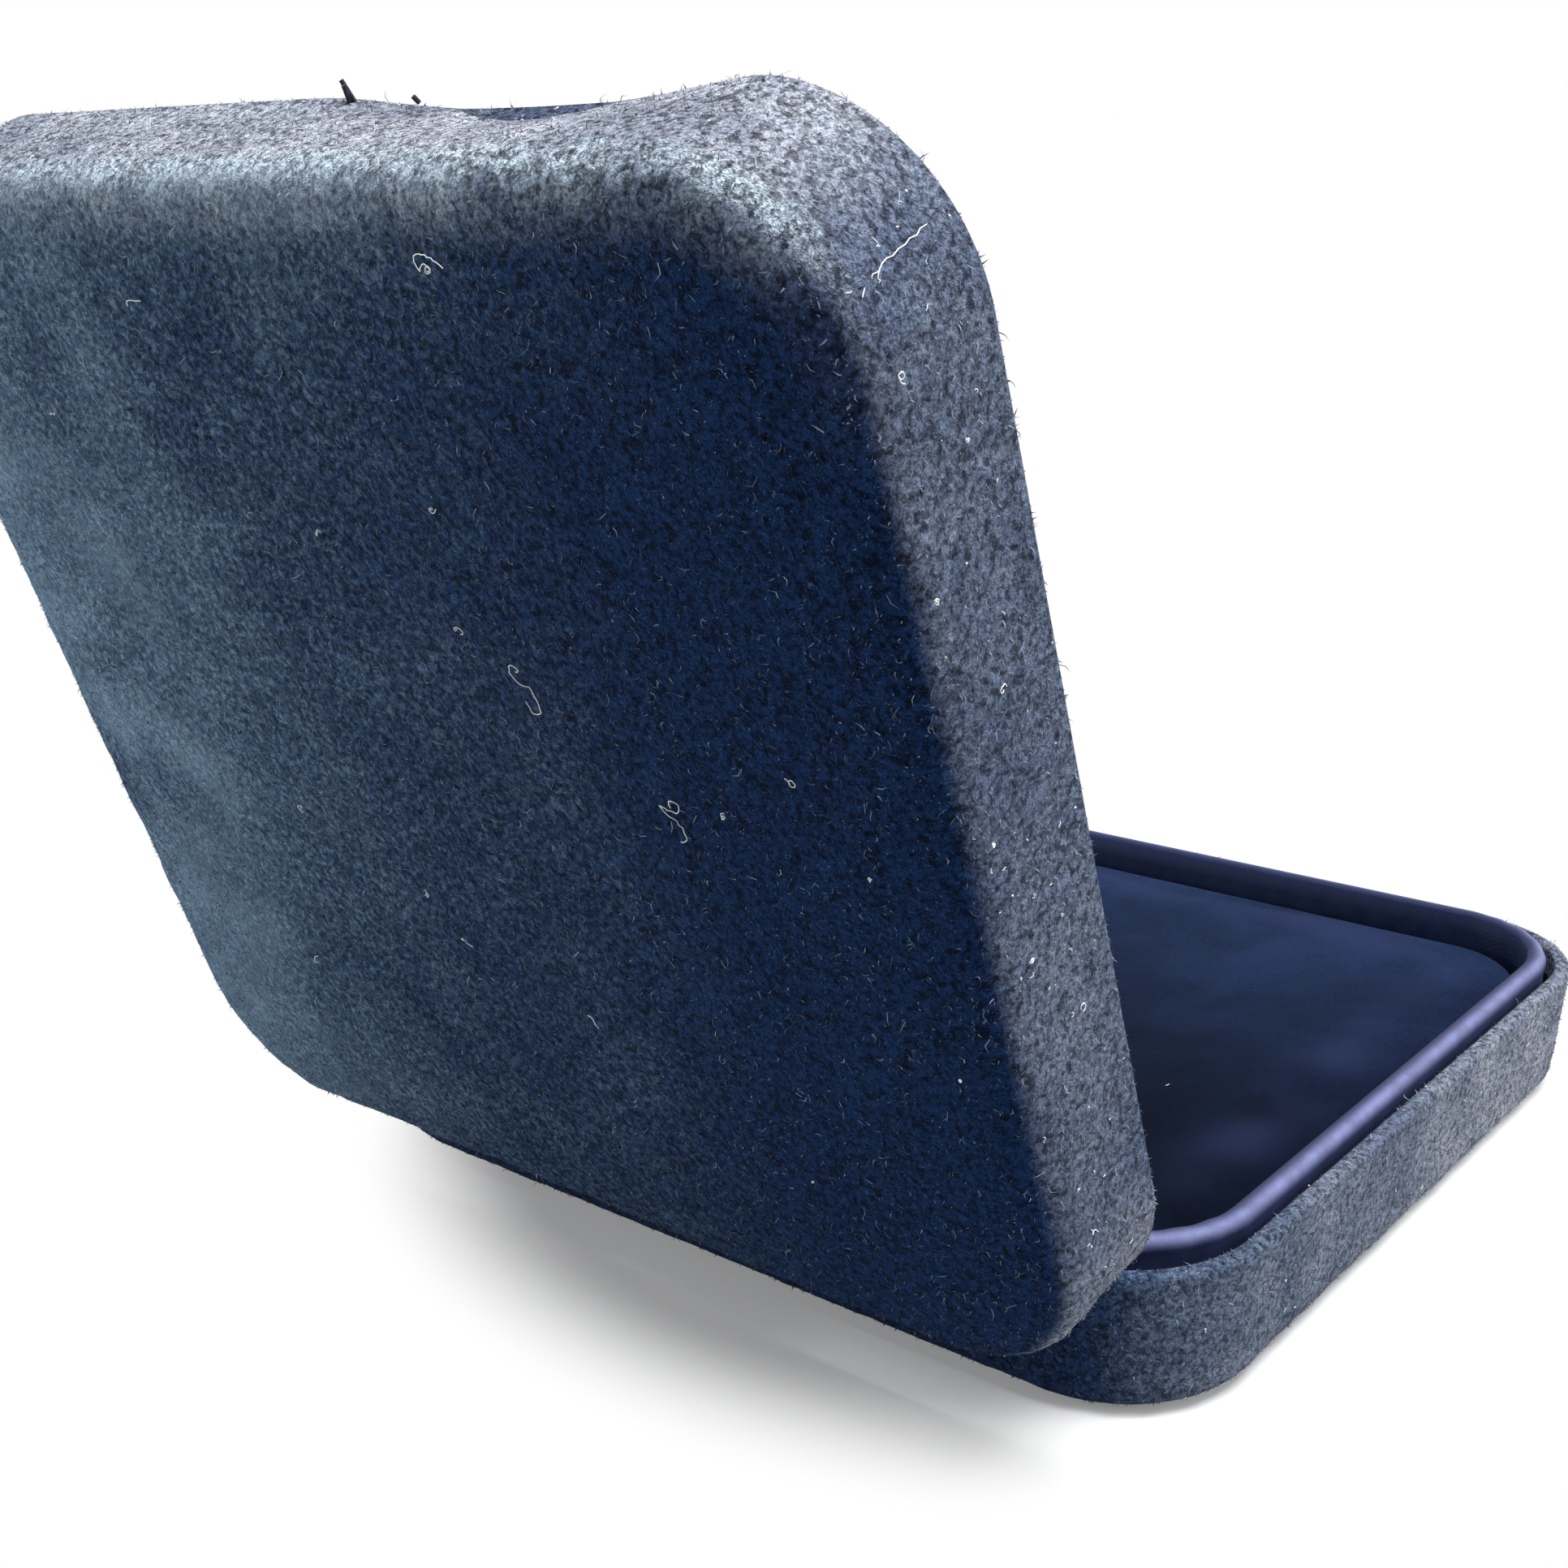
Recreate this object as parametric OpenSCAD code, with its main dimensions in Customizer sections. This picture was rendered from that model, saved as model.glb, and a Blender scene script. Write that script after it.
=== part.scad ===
// Hinged instrument case: two pressed steel halves in a suede wrap, a satin lip round a
// velvet bed in the base, a satin-lined lid, and a riveted snap hinge along the rear.
// +Z is up, the hinge runs along X at +Y, and the case opens at the front, -Y.
// The origin is the centre of the underside. The lid is drawn open, as it rests.

/* [Case] */
// Width over the suede, along the hinge
case_w = 102; // [80:1:160]
// Depth over the suede, front to rear
case_d = 95; // [75:1:140]
// Corner radius in plan, over the suede
corner_r = 14; // [12:0.5:20]
// Height of the base, underside to suede rim
base_h = 13.8; // [12:0.2:24]
// Height of the lid, suede rim to the top of its crown
lid_h = 13; // [11.5:0.2:22]
// Gap between the two suede rims when closed
rim_gap = 0.3; // [0.2:0.05:0.6]
// Angle of the lid when open on its stop
open_angle = 108; // [95:1:115]

/* [Walls] */
// Thickness of the suede
suede_t = 0.8; // [0.6:0.05:1.1]
// Thickness of the pressed steel
steel_t = 0.5; // [0.4:0.05:0.7]
// Thickness of the skived suede turned in behind the rim
turn_t = 0.3; // [0.2:0.05:0.4]
// How far the suede is turned in behind the rim
turn_in = 2.6; // [1.6:0.1:3.6]
// Edge radius between a side wall and the face of the lid
lid_edge_r = 3.2; // [2.4:0.1:4.2]
// Edge radius under the base
base_edge_r = 2.6; // [2:0.1:3.6]
// How far the lid's walls lean in from rim to face
lid_lean = 0.9; // [0.3:0.1:1.5]
// How far the base's walls lean in from rim to underside
base_lean = 1.2; // [0.6:0.1:1.5]
// Radius of the padded crown across the edge band of the lid's face
crown_r = 66; // [50:2:120]

/* [Sole] */
// How far the suede is turned under the base
turn_under = 9; // [7:0.5:10.5]
// How far the sole stands below the suede
sole_proud = 0.4; // [0.2:0.1:0.8]
// Gap between the sole and the suede round it
sole_gap = 0.3; // [0.2:0.1:0.6]

/* [Finger dip] */
// Place of the dip along the front wall of the lid
dip_x = -19; // [-24:1:24]
// Depth of the dip at the rim
dip_depth = 1.6; // [0.8:0.1:1.7]
// Thickness of the suede pressed thin inside the dip
dip_suede_t = 0.5; // [0.4:0.05:0.6]
// Radius of the dip along the wall
dip_long_r = 98; // [80:2:110]
// Radius of the dip up the wall
dip_high_r = 24; // [18:1:30]

/* [Lip] */
// Gap from the case's outer face to the lip at the sides
lip_set_side = 1.95; // [1.9:0.05:2.6]
// Gap from the case's outer face to the lip at the front and rear
lip_set_end = 3.2; // [3.1:0.1:4]
// Corner radius of the lip in plan
lip_corner_r = 12.6; // [11:0.2:14]
// Radius of the lip's rolled edge, over the satin
bead_r = 1.05; // [0.95:0.05:1.2]
// Thickness of the satin
satin_t = 0.3; // [0.2:0.05:0.4]
// Thickness of the card wall inside the lip
card_wall_t = 1.1; // [0.9:0.05:1.2]
// How far the lip stands above the suede rim
lip_raise = 1.7; // [1.2:0.1:2.2]
// Depth of the satin on the inside of the lip
satin_drop = 3.6; // [3:0.1:4.5]
// Depth of the satin on the outside of the lip
satin_skirt = 6; // [5:0.1:6.5]

/* [Bed] */
// Thickness of the card under the tray
tray_card_t = 1; // [0.8:0.1:1.4]
// Thickness of the card inside the bed
bed_card_t = 1; // [0.8:0.1:1.4]
// Depth of the bed's surface below the top of the lip
bed_drop = 2.7; // [2.2:0.1:3.2]
// Thickness of the velvet
velvet_t = 0.9; // [0.7:0.1:1.2]
// Radius of the bed's rolled edge
bed_edge_r = 2.8; // [2:0.1:3.6]
// Clearance round the bed and the lid's pad
pad_gap = 0.3; // [0.2:0.05:0.5]

/* [Lid lining] */
// Thickness of the card behind the lid's lining
lid_card_t = 0.8; // [0.6:0.1:1.2]
// Height of the lining frame's rolled edge above the lid's rim plane
frame_rise = 3.3; // [2.9:0.1:4]
// Thickness of the foam in the lid's pad
lid_foam_t = 1.4; // [1:0.1:2]
// Radius of the pad's rolled edge
lid_pad_edge_r = 1.3; // [1:0.1:1.6]

/* [Hinge] */
// Radius of the hinge barrel
barrel_r = 1.2; // [1.1:0.05:1.4]
// Radius of the hinge pin
pin_r = 0.5; // [0.4:0.05:0.6]
// Radial clearance between the pin and the lid's knuckles
pin_clearance = 0.05; // [0.02:0.01:0.08]
// Radial clearance between the pin and the base's knuckles
pin_hold = 0.01; // [0.01:0.005:0.02]
// Length of each outer knuckle
knuckle_l = 7; // [6:0.5:9]
// Length of the middle knuckle, which carries the snap cam
cam_l = 9; // [8:0.5:12]
// Gap between neighbouring knuckles
knuckle_gap = 0.15; // [0.1:0.05:0.3]
// Length of the stop dogs on the knuckle ends
dog_l = 0.8; // [0.6:0.1:1.2]
// Angle that each stop dog spans
dog_angle = 115; // [105:1:117]
// Free angle left at the stop when the lid is open
stop_slack = 1.5; // [1:0.1:3]
// Distance of the cam's flats from the pin's axis
flat_reach = 1; // [0.95:0.01:1.05]
// Clearance between the barrel and the suede and steel round it
barrel_gap = 0.3; // [0.2:0.05:0.4]
// Thickness of the hinge leaves
leaf_t = 0.5; // [0.4:0.05:0.6]
// Length of the hinge leaves down the walls
leaf_h = 6.4; // [5.8:0.1:7]
// Radius of the pin's headed ends
pin_head_r = 0.85; // [0.8:0.05:1]
// Thickness of the pin's headed ends
pin_head_t = 0.4; // [0.3:0.05:0.6]

/* [Rivets] */
// Radius of a rivet's shank
rivet_r = 0.7; // [0.5:0.05:0.8]
// Radius of a rivet's head
rivet_head_r = 1.3; // [1.1:0.05:1.4]
// Thickness of a rivet's head
rivet_head_t = 0.35; // [0.25:0.05:0.4]
// Distance of the rivets from the rim, down the leaf
rivet_drop = 4.4; // [4:0.1:4.8]

/* [Spring] */
// Thickness of the snap spring
spring_t = 0.3; // [0.25:0.05:0.35]
// Width of the snap spring
spring_w = 6; // [5:0.5:7]
// Clearance between the spring and the lobe of the cam
spring_gap = 0.03; // [0.02:0.01:0.06]

/* [Hidden] */
round_fn = 96;
over = 1;
arc_ease = 0.004;
outline_reach = 2 * (base_h + lid_h);

// Walls
wall_t = suede_t + steel_t + turn_t;
rim_roll_outer = 0.9 * suede_t;
rim_roll_inner = turn_t + 0.3 * steel_t;
rim_fold = 0.8 * suede_t;
base_body_h = base_h - sole_proud;
wadding_set = corner_r / 2;

// Lip and pads
lip_w = case_w - 2 * lip_set_side;
lip_d = case_d - 2 * lip_set_end;
lip_core_r = bead_r - satin_t;
lip_top = base_h + lip_raise;
lip_t = 2 * bead_r;
tray_z = sole_proud + suede_t + steel_t;
tray_top = tray_z + tray_card_t;
bed_top = lip_top - bed_drop;
pad_w = lip_w - 2 * (lip_t + pad_gap);
pad_d = lip_d - 2 * (lip_t + pad_gap);
pad_r = lip_corner_r - lip_t - pad_gap;

// Lid, measured from its rim plane
lid_rim_z = base_h + rim_gap;
lid_tilt = atan(lid_lean / lid_h);
base_tilt = atan(base_lean / base_body_h);
lid_edge = edge_centre(lid_h, lid_tilt, lid_edge_r, crown_r);
base_edge = edge_centre(base_body_h, base_tilt, base_edge_r, 0);
lid_steel_top = lid_edge[1] + lid_edge_r - suede_t;
lid_ceiling = lid_steel_top - steel_t;
lid_pad_back = lid_ceiling - lid_card_t;
lid_pad_face = lid_pad_back - lid_foam_t - satin_t;

// Hinge
axis_y = case_d / 2;
axis_z = base_h + rim_gap / 2;
step = knuckle_l + knuckle_gap;
barrel_half = cam_l / 2 + 2 * step;
groove_r = barrel_r + barrel_gap;
steel_face = suede_t + steel_t;
leaf_drop = 0.05;
rivet_sink = 0.8 * steel_t;
rivet_far = barrel_half - 2 * rivet_head_r;
base_rivet_near = spring_w / 2 + 2 * rivet_head_r;
lid_rivet_near = cam_l / 2 + rivet_head_r;
rivet_x = [-rivet_far, -base_rivet_near, base_rivet_near, rivet_far];
lid_rivet_x = [-rivet_far, -lid_rivet_near, lid_rivet_near, rivet_far];
spring_rivet_x = [-spring_w / 4, spring_w / 4];
dog_base_start = 270 - dog_angle;
cam_contact = 195;
notch_gap = 0.3;
spring_notch = 3;

// Centre of the edge arc, as [inset, height from the rim]. A crown of radius crown flattens
// out at the corner radius, and the edge arc is tangent to it and to the leaning wall.
function edge_centre(h, tilt, edge_r, crown) =
  crown == 0
    ? [tan(tilt) * (h - edge_r) + edge_r / cos(tilt), h - edge_r]
    : let (
        slope = tan(tilt),
        reach = corner_r - edge_r / cos(tilt),
        crown_z = h - crown,
        a = 1 + slope * slope,
        b = slope * reach + crown_z,
        c = reach * reach + crown_z * crown_z - pow(crown - edge_r, 2),
        z = (b + sqrt(b * b - a * c)) / a
      )
      [slope * z + edge_r / cos(tilt), z];

// Inset of a wall's surface at depth z from the rim, with thickness t taken off outside it
function wall_inset(tilt, t, z) = t / cos(tilt) + z * tan(tilt);

// ---- Outlines, drawn as [inset from the outer face, height from the rim] ----

// Everything inside one half of the case, less a thickness t.
// The edge arc runs a hair over the walls that it meets, so that they cross cleanly.
module half_outline(h, tilt, edge_r, crown, t) {
  edge = edge_centre(h, tilt, edge_r, crown);
  r = edge_r - t;
  polygon([
    [wall_inset(tilt, t, 0), 0],
    [corner_r, 0],
    [corner_r, edge[1] + r],
    [edge[0], edge[1] + r],
    edge,
    [edge[0] - r * cos(tilt), edge[1] + r * sin(tilt)]
  ]);
  translate(edge)
    circle(r = r + arc_ease, $fn = round_fn);
}

// The padded crown that lies over the half outline
module crown_outline(h, tilt, edge_r, crown, t) {
  edge = edge_centre(h, tilt, edge_r, crown);
  crown_z = h - crown;
  lean = (edge[0] - corner_r) / (edge[1] - crown_z);
  intersection() {
    translate([corner_r, crown_z])
      circle(r = crown - t, $fn = 4 * round_fn);
    polygon([
      edge,
      [corner_r, edge[1]],
      [corner_r, h + over],
      [edge[0] + lean * (h + over - edge[1]), h + over]
    ]);
  }
}

module lid_outline(t) {
  half_outline(lid_h, lid_tilt, lid_edge_r, crown_r, t);
  crown_outline(lid_h, lid_tilt, lid_edge_r, crown_r, t);
}

module lid_steel_outline(t) {
  half_outline(lid_h, lid_tilt, lid_edge_r, crown_r, t);
}

module base_outline(t) {
  half_outline(base_body_h, base_tilt, base_edge_r, 0, t);
}

// What lies between two depths from the rim
module band(from, to) {
  translate([-over, from])
    square([corner_r + over, to - from]);
}

// Waste outside a quarter round, which eases the corner at [0, 0] into +x, +y
module corner_waste(r) {
  difference() {
    translate([-over, -over])
      square([r + over, r + over]);
    translate([r, r])
      circle(r = r, $fn = round_fn);
    translate([r, -2 * over])
      square([r, 2 * r + 2 * over]);
    translate([-2 * over, r])
      square([2 * r + 2 * over, r]);
  }
}

// The suede folded over the rim: a rolled edge and the skived strip behind the steel
module rim_fold_outline(tilt, h_limit) {
  difference() {
    polygon([
      [0, 0],
      [wall_t / cos(tilt), 0],
      [wall_inset(tilt, wall_t, h_limit), h_limit],
      [wall_inset(tilt, steel_face, h_limit), h_limit],
      [wall_inset(tilt, steel_face, rim_fold), rim_fold],
      [wall_inset(tilt, 0, rim_fold), rim_fold]
    ]);
    corner_waste(rim_roll_outer);
    translate([wall_t / cos(tilt), 0])
      mirror([1, 0])
        corner_waste(rim_roll_inner);
  }
}

// ---- Solids made from outlines ----

// Carries an outline round a rounded rectangle of size w by d with corner radius r
module round_sweep(w, d, r) {
  for (turn = [0:3]) {
    along = turn % 2 == 0 ? d : w;
    across = turn % 2 == 0 ? w : d;
    rotate([0, 0, 90 * turn]) {
      translate([across / 2 - r, 0, 0])
        rotate([90, 0, 0])
          linear_extrude(height = along - 2 * r, center = true)
            translate([r, 0])
              mirror([1, 0])
                children();
      translate([across / 2 - r, along / 2 - r, 0])
        rotate_extrude(angle = 90, $fn = round_fn)
          intersection() {
            translate([r, 0])
              mirror([1, 0])
                children();
            translate([0, -outline_reach])
              square([2 * r, 2 * outline_reach]);
          }
    }
  }
}

module case_sweep() {
  round_sweep(case_w, case_d, corner_r)
    children();
}

// The rectangle inside the swept corners, between two heights
module centre_block(w, d, r, from, to) {
  translate([r - w / 2, r - d / 2, from])
    cube([w - 2 * r, d - 2 * r, to - from]);
}

module case_centre(from, to) {
  centre_block(case_w, case_d, corner_r, from, to);
}

// A flat plate with rounded corners
module plate(w, d, r, from, to) {
  translate([0, 0, from])
    linear_extrude(height = to - from) {
      square([w - 2 * r, d], center = true);
      square([w, d - 2 * r], center = true);
      for (x = [-1, 1], y = [-1, 1])
        translate([x * (w / 2 - r), y * (d / 2 - r)])
          circle(r = r, $fn = round_fn);
    }
}

// ---- Places ----

// Turns the base's drawings, made from the rim down, the right way up
module base_place() {
  translate([0, 0, base_h])
    mirror([0, 0, 1])
      children();
}

// Lifts the lid's drawings, made from the rim up, on to the closed base
module lid_closed() {
  translate([0, 0, lid_rim_z])
    children();
}

// Swings what is drawn on the closed lid open about the hinge axis
module swing() {
  translate([0, axis_y, axis_z])
    rotate([-open_angle, 0, 0])
      translate([0, -axis_y, -axis_z])
        children();
}

module lid_place() {
  swing()
    lid_closed()
      children();
}

// ---- Finger dip in the lid's front wall ----

// The body that presses the dip in, grown by t
module dip_body(t) {
  ring_r = dip_long_r - dip_high_r;
  translate([dip_x, dip_depth - case_d / 2 - dip_long_r, 0])
    rotate([0, 0, 45])
      rotate_extrude(angle = 90, $fn = 4 * round_fn)
        translate([ring_r, 0])
          intersection() {
            circle(r = dip_high_r + t, $fn = round_fn);
            translate([dip_high_r / 2, -dip_high_r])
              square([dip_high_r, 2 * dip_high_r]);
          }
}

// The sheet between two growths of the dip body
module dip_sheet(from, to) {
  difference() {
    dip_body(to);
    dip_body(from);
  }
}

// ---- Hinge shapes, drawn as [inset from the rear face, height from the axis] ----

module barrel(from, to, r) {
  translate([from, axis_y, axis_z])
    rotate([0, 90, 0])
      cylinder(h = to - from, r = r, $fn = round_fn);
}

// Extrudes an outline of [inset from the rear face, height] along X from the rim plane
module rear_extrude(from, to, rim_z) {
  translate([from, axis_y, rim_z])
    rotate([90, 0, 90])
      linear_extrude(height = to - from)
        mirror([1, 0])
          children();
}

// A wedge of the barrel between two angles, which open from +Y towards +Z
module barrel_wedge(from, to, start, span) {
  reach = 3 * barrel_r;
  intersection() {
    barrel(from, to, barrel_r);
    translate([from, axis_y, axis_z])
      rotate([90, 0, 90])
        linear_extrude(height = to - from)
          polygon([
            [0, 0],
            for (part = [0:4])
              [reach * cos(start + span * part / 4), reach * sin(start + span * part / 4)]
          ]);
  }
}

// The leaf's strip over the rim and down the wall, with its height measured away from the rim
module leaf_outline(tilt) {
  polygon([
    [barrel_r / 2, leaf_drop],
    [wall_inset(tilt, steel_face + leaf_t, leaf_drop), leaf_drop],
    [wall_inset(tilt, steel_face + leaf_t, leaf_h), leaf_h],
    [wall_inset(tilt, steel_face, leaf_h), leaf_h],
    [wall_inset(tilt, steel_face, leaf_drop + leaf_t), leaf_drop + leaf_t],
    [barrel_r / 2, leaf_drop + leaf_t]
  ]);
}

// The leaf's plate alone, below its knuckles
module leaf_plate_outline(tilt, top) {
  polygon([
    [wall_inset(tilt, steel_face, top), top],
    [wall_inset(tilt, steel_face + leaf_t, top), top],
    [wall_inset(tilt, steel_face + leaf_t, leaf_h), leaf_h],
    [wall_inset(tilt, steel_face, leaf_h), leaf_h]
  ]);
}

// Turns what is drawn along Z square to a leaning wall, from the steel's outer face inwards
module on_wall(x, tilt) {
  translate([x, axis_y - wall_inset(tilt, suede_t, rivet_drop), rivet_drop])
    rotate([90 + tilt, 0, 0])
      children();
}

// A rivet, whose head lies on a stack of thickness held and whose foot is flush in the steel
module rivet(held) {
  cylinder(h = steel_t + held, r = rivet_r, $fn = round_fn);
  cylinder(h = rivet_sink, r1 = rivet_r + rivet_sink, r2 = rivet_r, $fn = round_fn);
  translate([0, 0, steel_t + held])
    cylinder(h = rivet_head_t, r1 = rivet_head_r, r2 = rivet_head_r - rivet_head_t, $fn = round_fn);
}

// The countersunk hole for a rivet, open at both ends
module rivet_hole() {
  cylinder(h = steel_t + leaf_t + over, r = rivet_r, $fn = round_fn);
  cylinder(h = rivet_sink, r1 = rivet_r + rivet_sink, r2 = rivet_r, $fn = round_fn);
  translate([0, 0, -over])
    cylinder(h = over, r = rivet_r + rivet_sink, $fn = round_fn);
}

module rivet_row(places, tilt, held) {
  for (x = places)
    on_wall(x, tilt)
      rivet(held);
}

module hole_row(places, tilt) {
  for (x = places)
    on_wall(x, tilt)
      rivet_hole();
}

// What both halves lose to the hinge: the barrel's groove and the strips over the rim
module hinge_groove() {
  barrel(-barrel_half - notch_gap - pin_head_t, barrel_half + notch_gap + pin_head_t, groove_r);
}

// Slot in a rim for a leaf's strips, drawn from the rim
module rim_slot(half_length, depth) {
  translate([-half_length, axis_y - wall_t - over, -over])
    cube([2 * half_length, wall_t + 2 * over, depth + over]);
}

// Room behind the rim for the leaf, where the turned-in suede stops short
module turn_in_gap() {
  translate([-barrel_half - notch_gap, axis_y - wall_t - leaf_h, -over])
    cube([2 * (barrel_half + notch_gap), leaf_h + wall_t - steel_face / 2, turn_in + 2 * over]);
}

// ---- Base ----

module base_shell() {
  color("slategray")
    difference() {
      base_place() {
        case_sweep()
          difference() {
            base_outline(suede_t);
            base_outline(steel_face);
            band(-over, rim_fold);
          }
        case_centre(base_body_h - steel_face, base_body_h - suede_t);
      }
      hinge_groove();
      base_place() {
        rim_slot(barrel_half + notch_gap, leaf_drop + leaf_t);
        rim_slot(spring_w / 2 + notch_gap, spring_notch);
        hole_row(rivet_x, base_tilt);
        hole_row(spring_rivet_x, base_tilt);
      }
    }
}

module base_cover() {
  color([0.17, 0.23, 0.3])
    difference() {
      base_place()
        case_sweep() {
          difference() {
            base_outline(0);
            base_outline(suede_t);
            band(-over, rim_fold);
            translate([turn_under, base_body_h / 2])
              square([corner_r, base_body_h]);
          }
          rim_fold_outline(base_tilt, turn_in);
        }
      hinge_groove();
      base_place() {
        rim_slot(barrel_half + notch_gap, leaf_drop + leaf_t);
        rim_slot(spring_w / 2 + notch_gap, spring_notch);
        turn_in_gap_clear();
      }
    }
}

module turn_in_gap_clear() {
  intersection() {
    turn_in_gap();
    rear_inner();
  }
}

// Everything inside the rear wall's steel, where the turned-in suede lies
module rear_inner() {
  translate([-case_w / 2, axis_y - steel_face - corner_r, -over])
    cube([case_w, corner_r, base_h]);
}

module sole_panel() {
  inset = turn_under + sole_gap;
  color([0.14, 0.19, 0.25])
    plate(case_w - 2 * inset, case_d - 2 * inset, corner_r - inset, 0, sole_proud + suede_t);
}

module tray_board() {
  inset = wall_inset(base_tilt, steel_face, base_body_h - suede_t - steel_t) + base_edge_r;
  color("tan")
    plate(case_w - 2 * inset, case_d - 2 * inset, corner_r - inset, tray_z, tray_top);
}

// Outline of a lip: a wall that stands on height 0 with a rolled edge of radius r at the top
module roll_outline(half_t, r, height) {
  translate([bead_r - half_t, 0])
    square([2 * half_t, height - r]);
  translate([bead_r, height - r])
    circle(r = r, $fn = round_fn);
}

module lip_sweep() {
  round_sweep(lip_w, lip_d, lip_corner_r)
    children();
}

module lip_card(height) {
  lip_sweep()
    roll_outline(card_wall_t / 2, lip_core_r, height - satin_t);
}

// Satin over the lip's card, part way down outside it and less far down inside
module lip_satin(height) {
  lip_sweep()
    difference() {
      roll_outline(card_wall_t / 2 + satin_t, bead_r, height);
      roll_outline(card_wall_t / 2, lip_core_r, height - satin_t);
      translate([bead_r, -over])
        square([lip_t, height - satin_drop + over]);
      translate([-over, -over])
        square([lip_t, height - satin_skirt + over]);
    }
}

module lip_frame() {
  color("tan")
    translate([0, 0, tray_top])
      lip_card(lip_top - tray_top);
}

module lip_cover() {
  color([0.33, 0.33, 0.62])
    translate([0, 0, tray_top])
      lip_satin(lip_top - tray_top);
}

// Outline of a pad from height 0, with its upper outer edge rolled, less a thickness t
module pad_outline(height, edge_r, t) {
  polygon([[edge_r, 0], [pad_r, 0], [pad_r, height - t], [edge_r, height - t]]);
  polygon([[t, 0], [pad_r, 0], [pad_r, height - edge_r], [t, height - edge_r]]);
  intersection() {
    translate([edge_r, height - edge_r])
      circle(r = edge_r - t, $fn = round_fn);
    square([2 * edge_r, height]);
  }
}

module pad_sweep() {
  round_sweep(pad_w, pad_d, pad_r)
    children();
}

// A pad's cover, which wraps its top and sides
module pad_skin(height, edge_r, t) {
  pad_sweep()
    difference() {
      pad_outline(height, edge_r, 0);
      pad_outline(height, edge_r, t);
    }
  centre_block(pad_w, pad_d, pad_r, height - t, height);
}

// A pad's filling, from a height up to its cover
module pad_fill(height, edge_r, t, from) {
  pad_sweep()
    difference() {
      pad_outline(height, edge_r, t);
      translate([-over, -over])
        square([pad_r + 2 * over, from + over]);
    }
  centre_block(pad_w, pad_d, pad_r, from, height - t);
}

module bed_board() {
  color("tan")
    plate(pad_w - 2 * velvet_t, pad_d - 2 * velvet_t, pad_r - velvet_t, tray_top, tray_top + bed_card_t);
}

module bed_foam() {
  color("beige")
    translate([0, 0, tray_top])
      pad_fill(bed_top - tray_top, bed_edge_r, velvet_t, bed_card_t);
}

module bed_velvet() {
  color([0.07, 0.09, 0.22])
    translate([0, 0, tray_top])
      pad_skin(bed_top - tray_top, bed_edge_r, velvet_t);
}

// ---- Hinge, base side ----

// Left and right ends of the base's two knuckles, as distances from the middle
base_knuckle = [cam_l / 2 + knuckle_gap, cam_l / 2 + step];
lid_knuckle = [cam_l / 2 + step + knuckle_gap, barrel_half];

// A knuckle between two distances from the middle. Its outer or inner dog reaches into the
// ring of length dog_l that it shares with its neighbour.
module base_knuckle_body() {
  dog_end = base_knuckle[1];
  barrel(base_knuckle[0], dog_end - dog_l, barrel_r);
  barrel_wedge(dog_end - dog_l - over / 2, dog_end - knuckle_gap / 2, dog_base_start, dog_angle);
}

module base_leaf_half() {
  difference() {
    union() {
      base_knuckle_body();
      rear_extrude(base_knuckle[0], base_knuckle[1] - dog_l, base_h)
        mirror([0, 1])
          leaf_outline(base_tilt);
    }
    barrel(0, 2 * barrel_half, pin_r + pin_hold);
  }
}

module base_hinge_leaf() {
  color("silver")
    difference() {
      union() {
        base_leaf_half();
        mirror([1, 0, 0])
          base_leaf_half();
        rear_extrude(-barrel_half, barrel_half, base_h)
          mirror([0, 1])
            leaf_plate_outline(base_tilt, spring_notch);
      }
      base_place() {
        hole_row(rivet_x, base_tilt);
        hole_row(spring_rivet_x, base_tilt);
      }
    }
}

module base_rivets() {
  color("gainsboro")
    base_place() {
      rivet_row(rivet_x, base_tilt, leaf_t);
      rivet_row(spring_rivet_x, base_tilt, leaf_t + spring_t);
    }
}

// The flat spring stands on the leaf and leans out to bear on the cam
module snap_spring() {
  tip = barrel_r + spring_gap;
  foot = steel_face + leaf_t;
  color("dimgray")
    difference() {
      rear_extrude(-spring_w / 2, spring_w / 2, base_h)
        mirror([0, 1])
          polygon([
            [tip, leaf_drop],
            [tip + spring_t, leaf_drop],
            [tip + spring_t, 3 * spring_t],
            [wall_inset(base_tilt, foot + spring_t, spring_notch), spring_notch],
            [wall_inset(base_tilt, foot + spring_t, leaf_h), leaf_h],
            [wall_inset(base_tilt, foot, leaf_h), leaf_h],
            [wall_inset(base_tilt, foot, spring_notch), spring_notch],
            [tip, 3 * spring_t]
          ]);
      base_place()
        hole_row(spring_rivet_x, base_tilt);
    }
}

module hinge_pin() {
  color("gainsboro") {
    barrel(-barrel_half - knuckle_gap, barrel_half + knuckle_gap, pin_r);
    for (side = [0, 1])
      mirror([side, 0, 0])
        barrel(barrel_half + knuckle_gap, barrel_half + knuckle_gap + pin_head_t, pin_head_r);
  }
}

// ---- Lid ----

module lid_shell() {
  color("slategray")
    swing()
      difference() {
        lid_closed()
          lid_steel();
        hinge_groove();
        lid_closed() {
          rim_slot(barrel_half + notch_gap, leaf_drop + leaf_t);
          hole_row(lid_rivet_x, lid_tilt);
        }
      }
}

// Solid of everything inside the lid's steel skin, less a thickness t
module lid_body(t, from) {
  case_sweep()
    difference() {
      lid_steel_outline(t);
      band(-over, from);
    }
  case_centre(from, lid_edge[1] + lid_edge_r - t);
}

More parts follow.
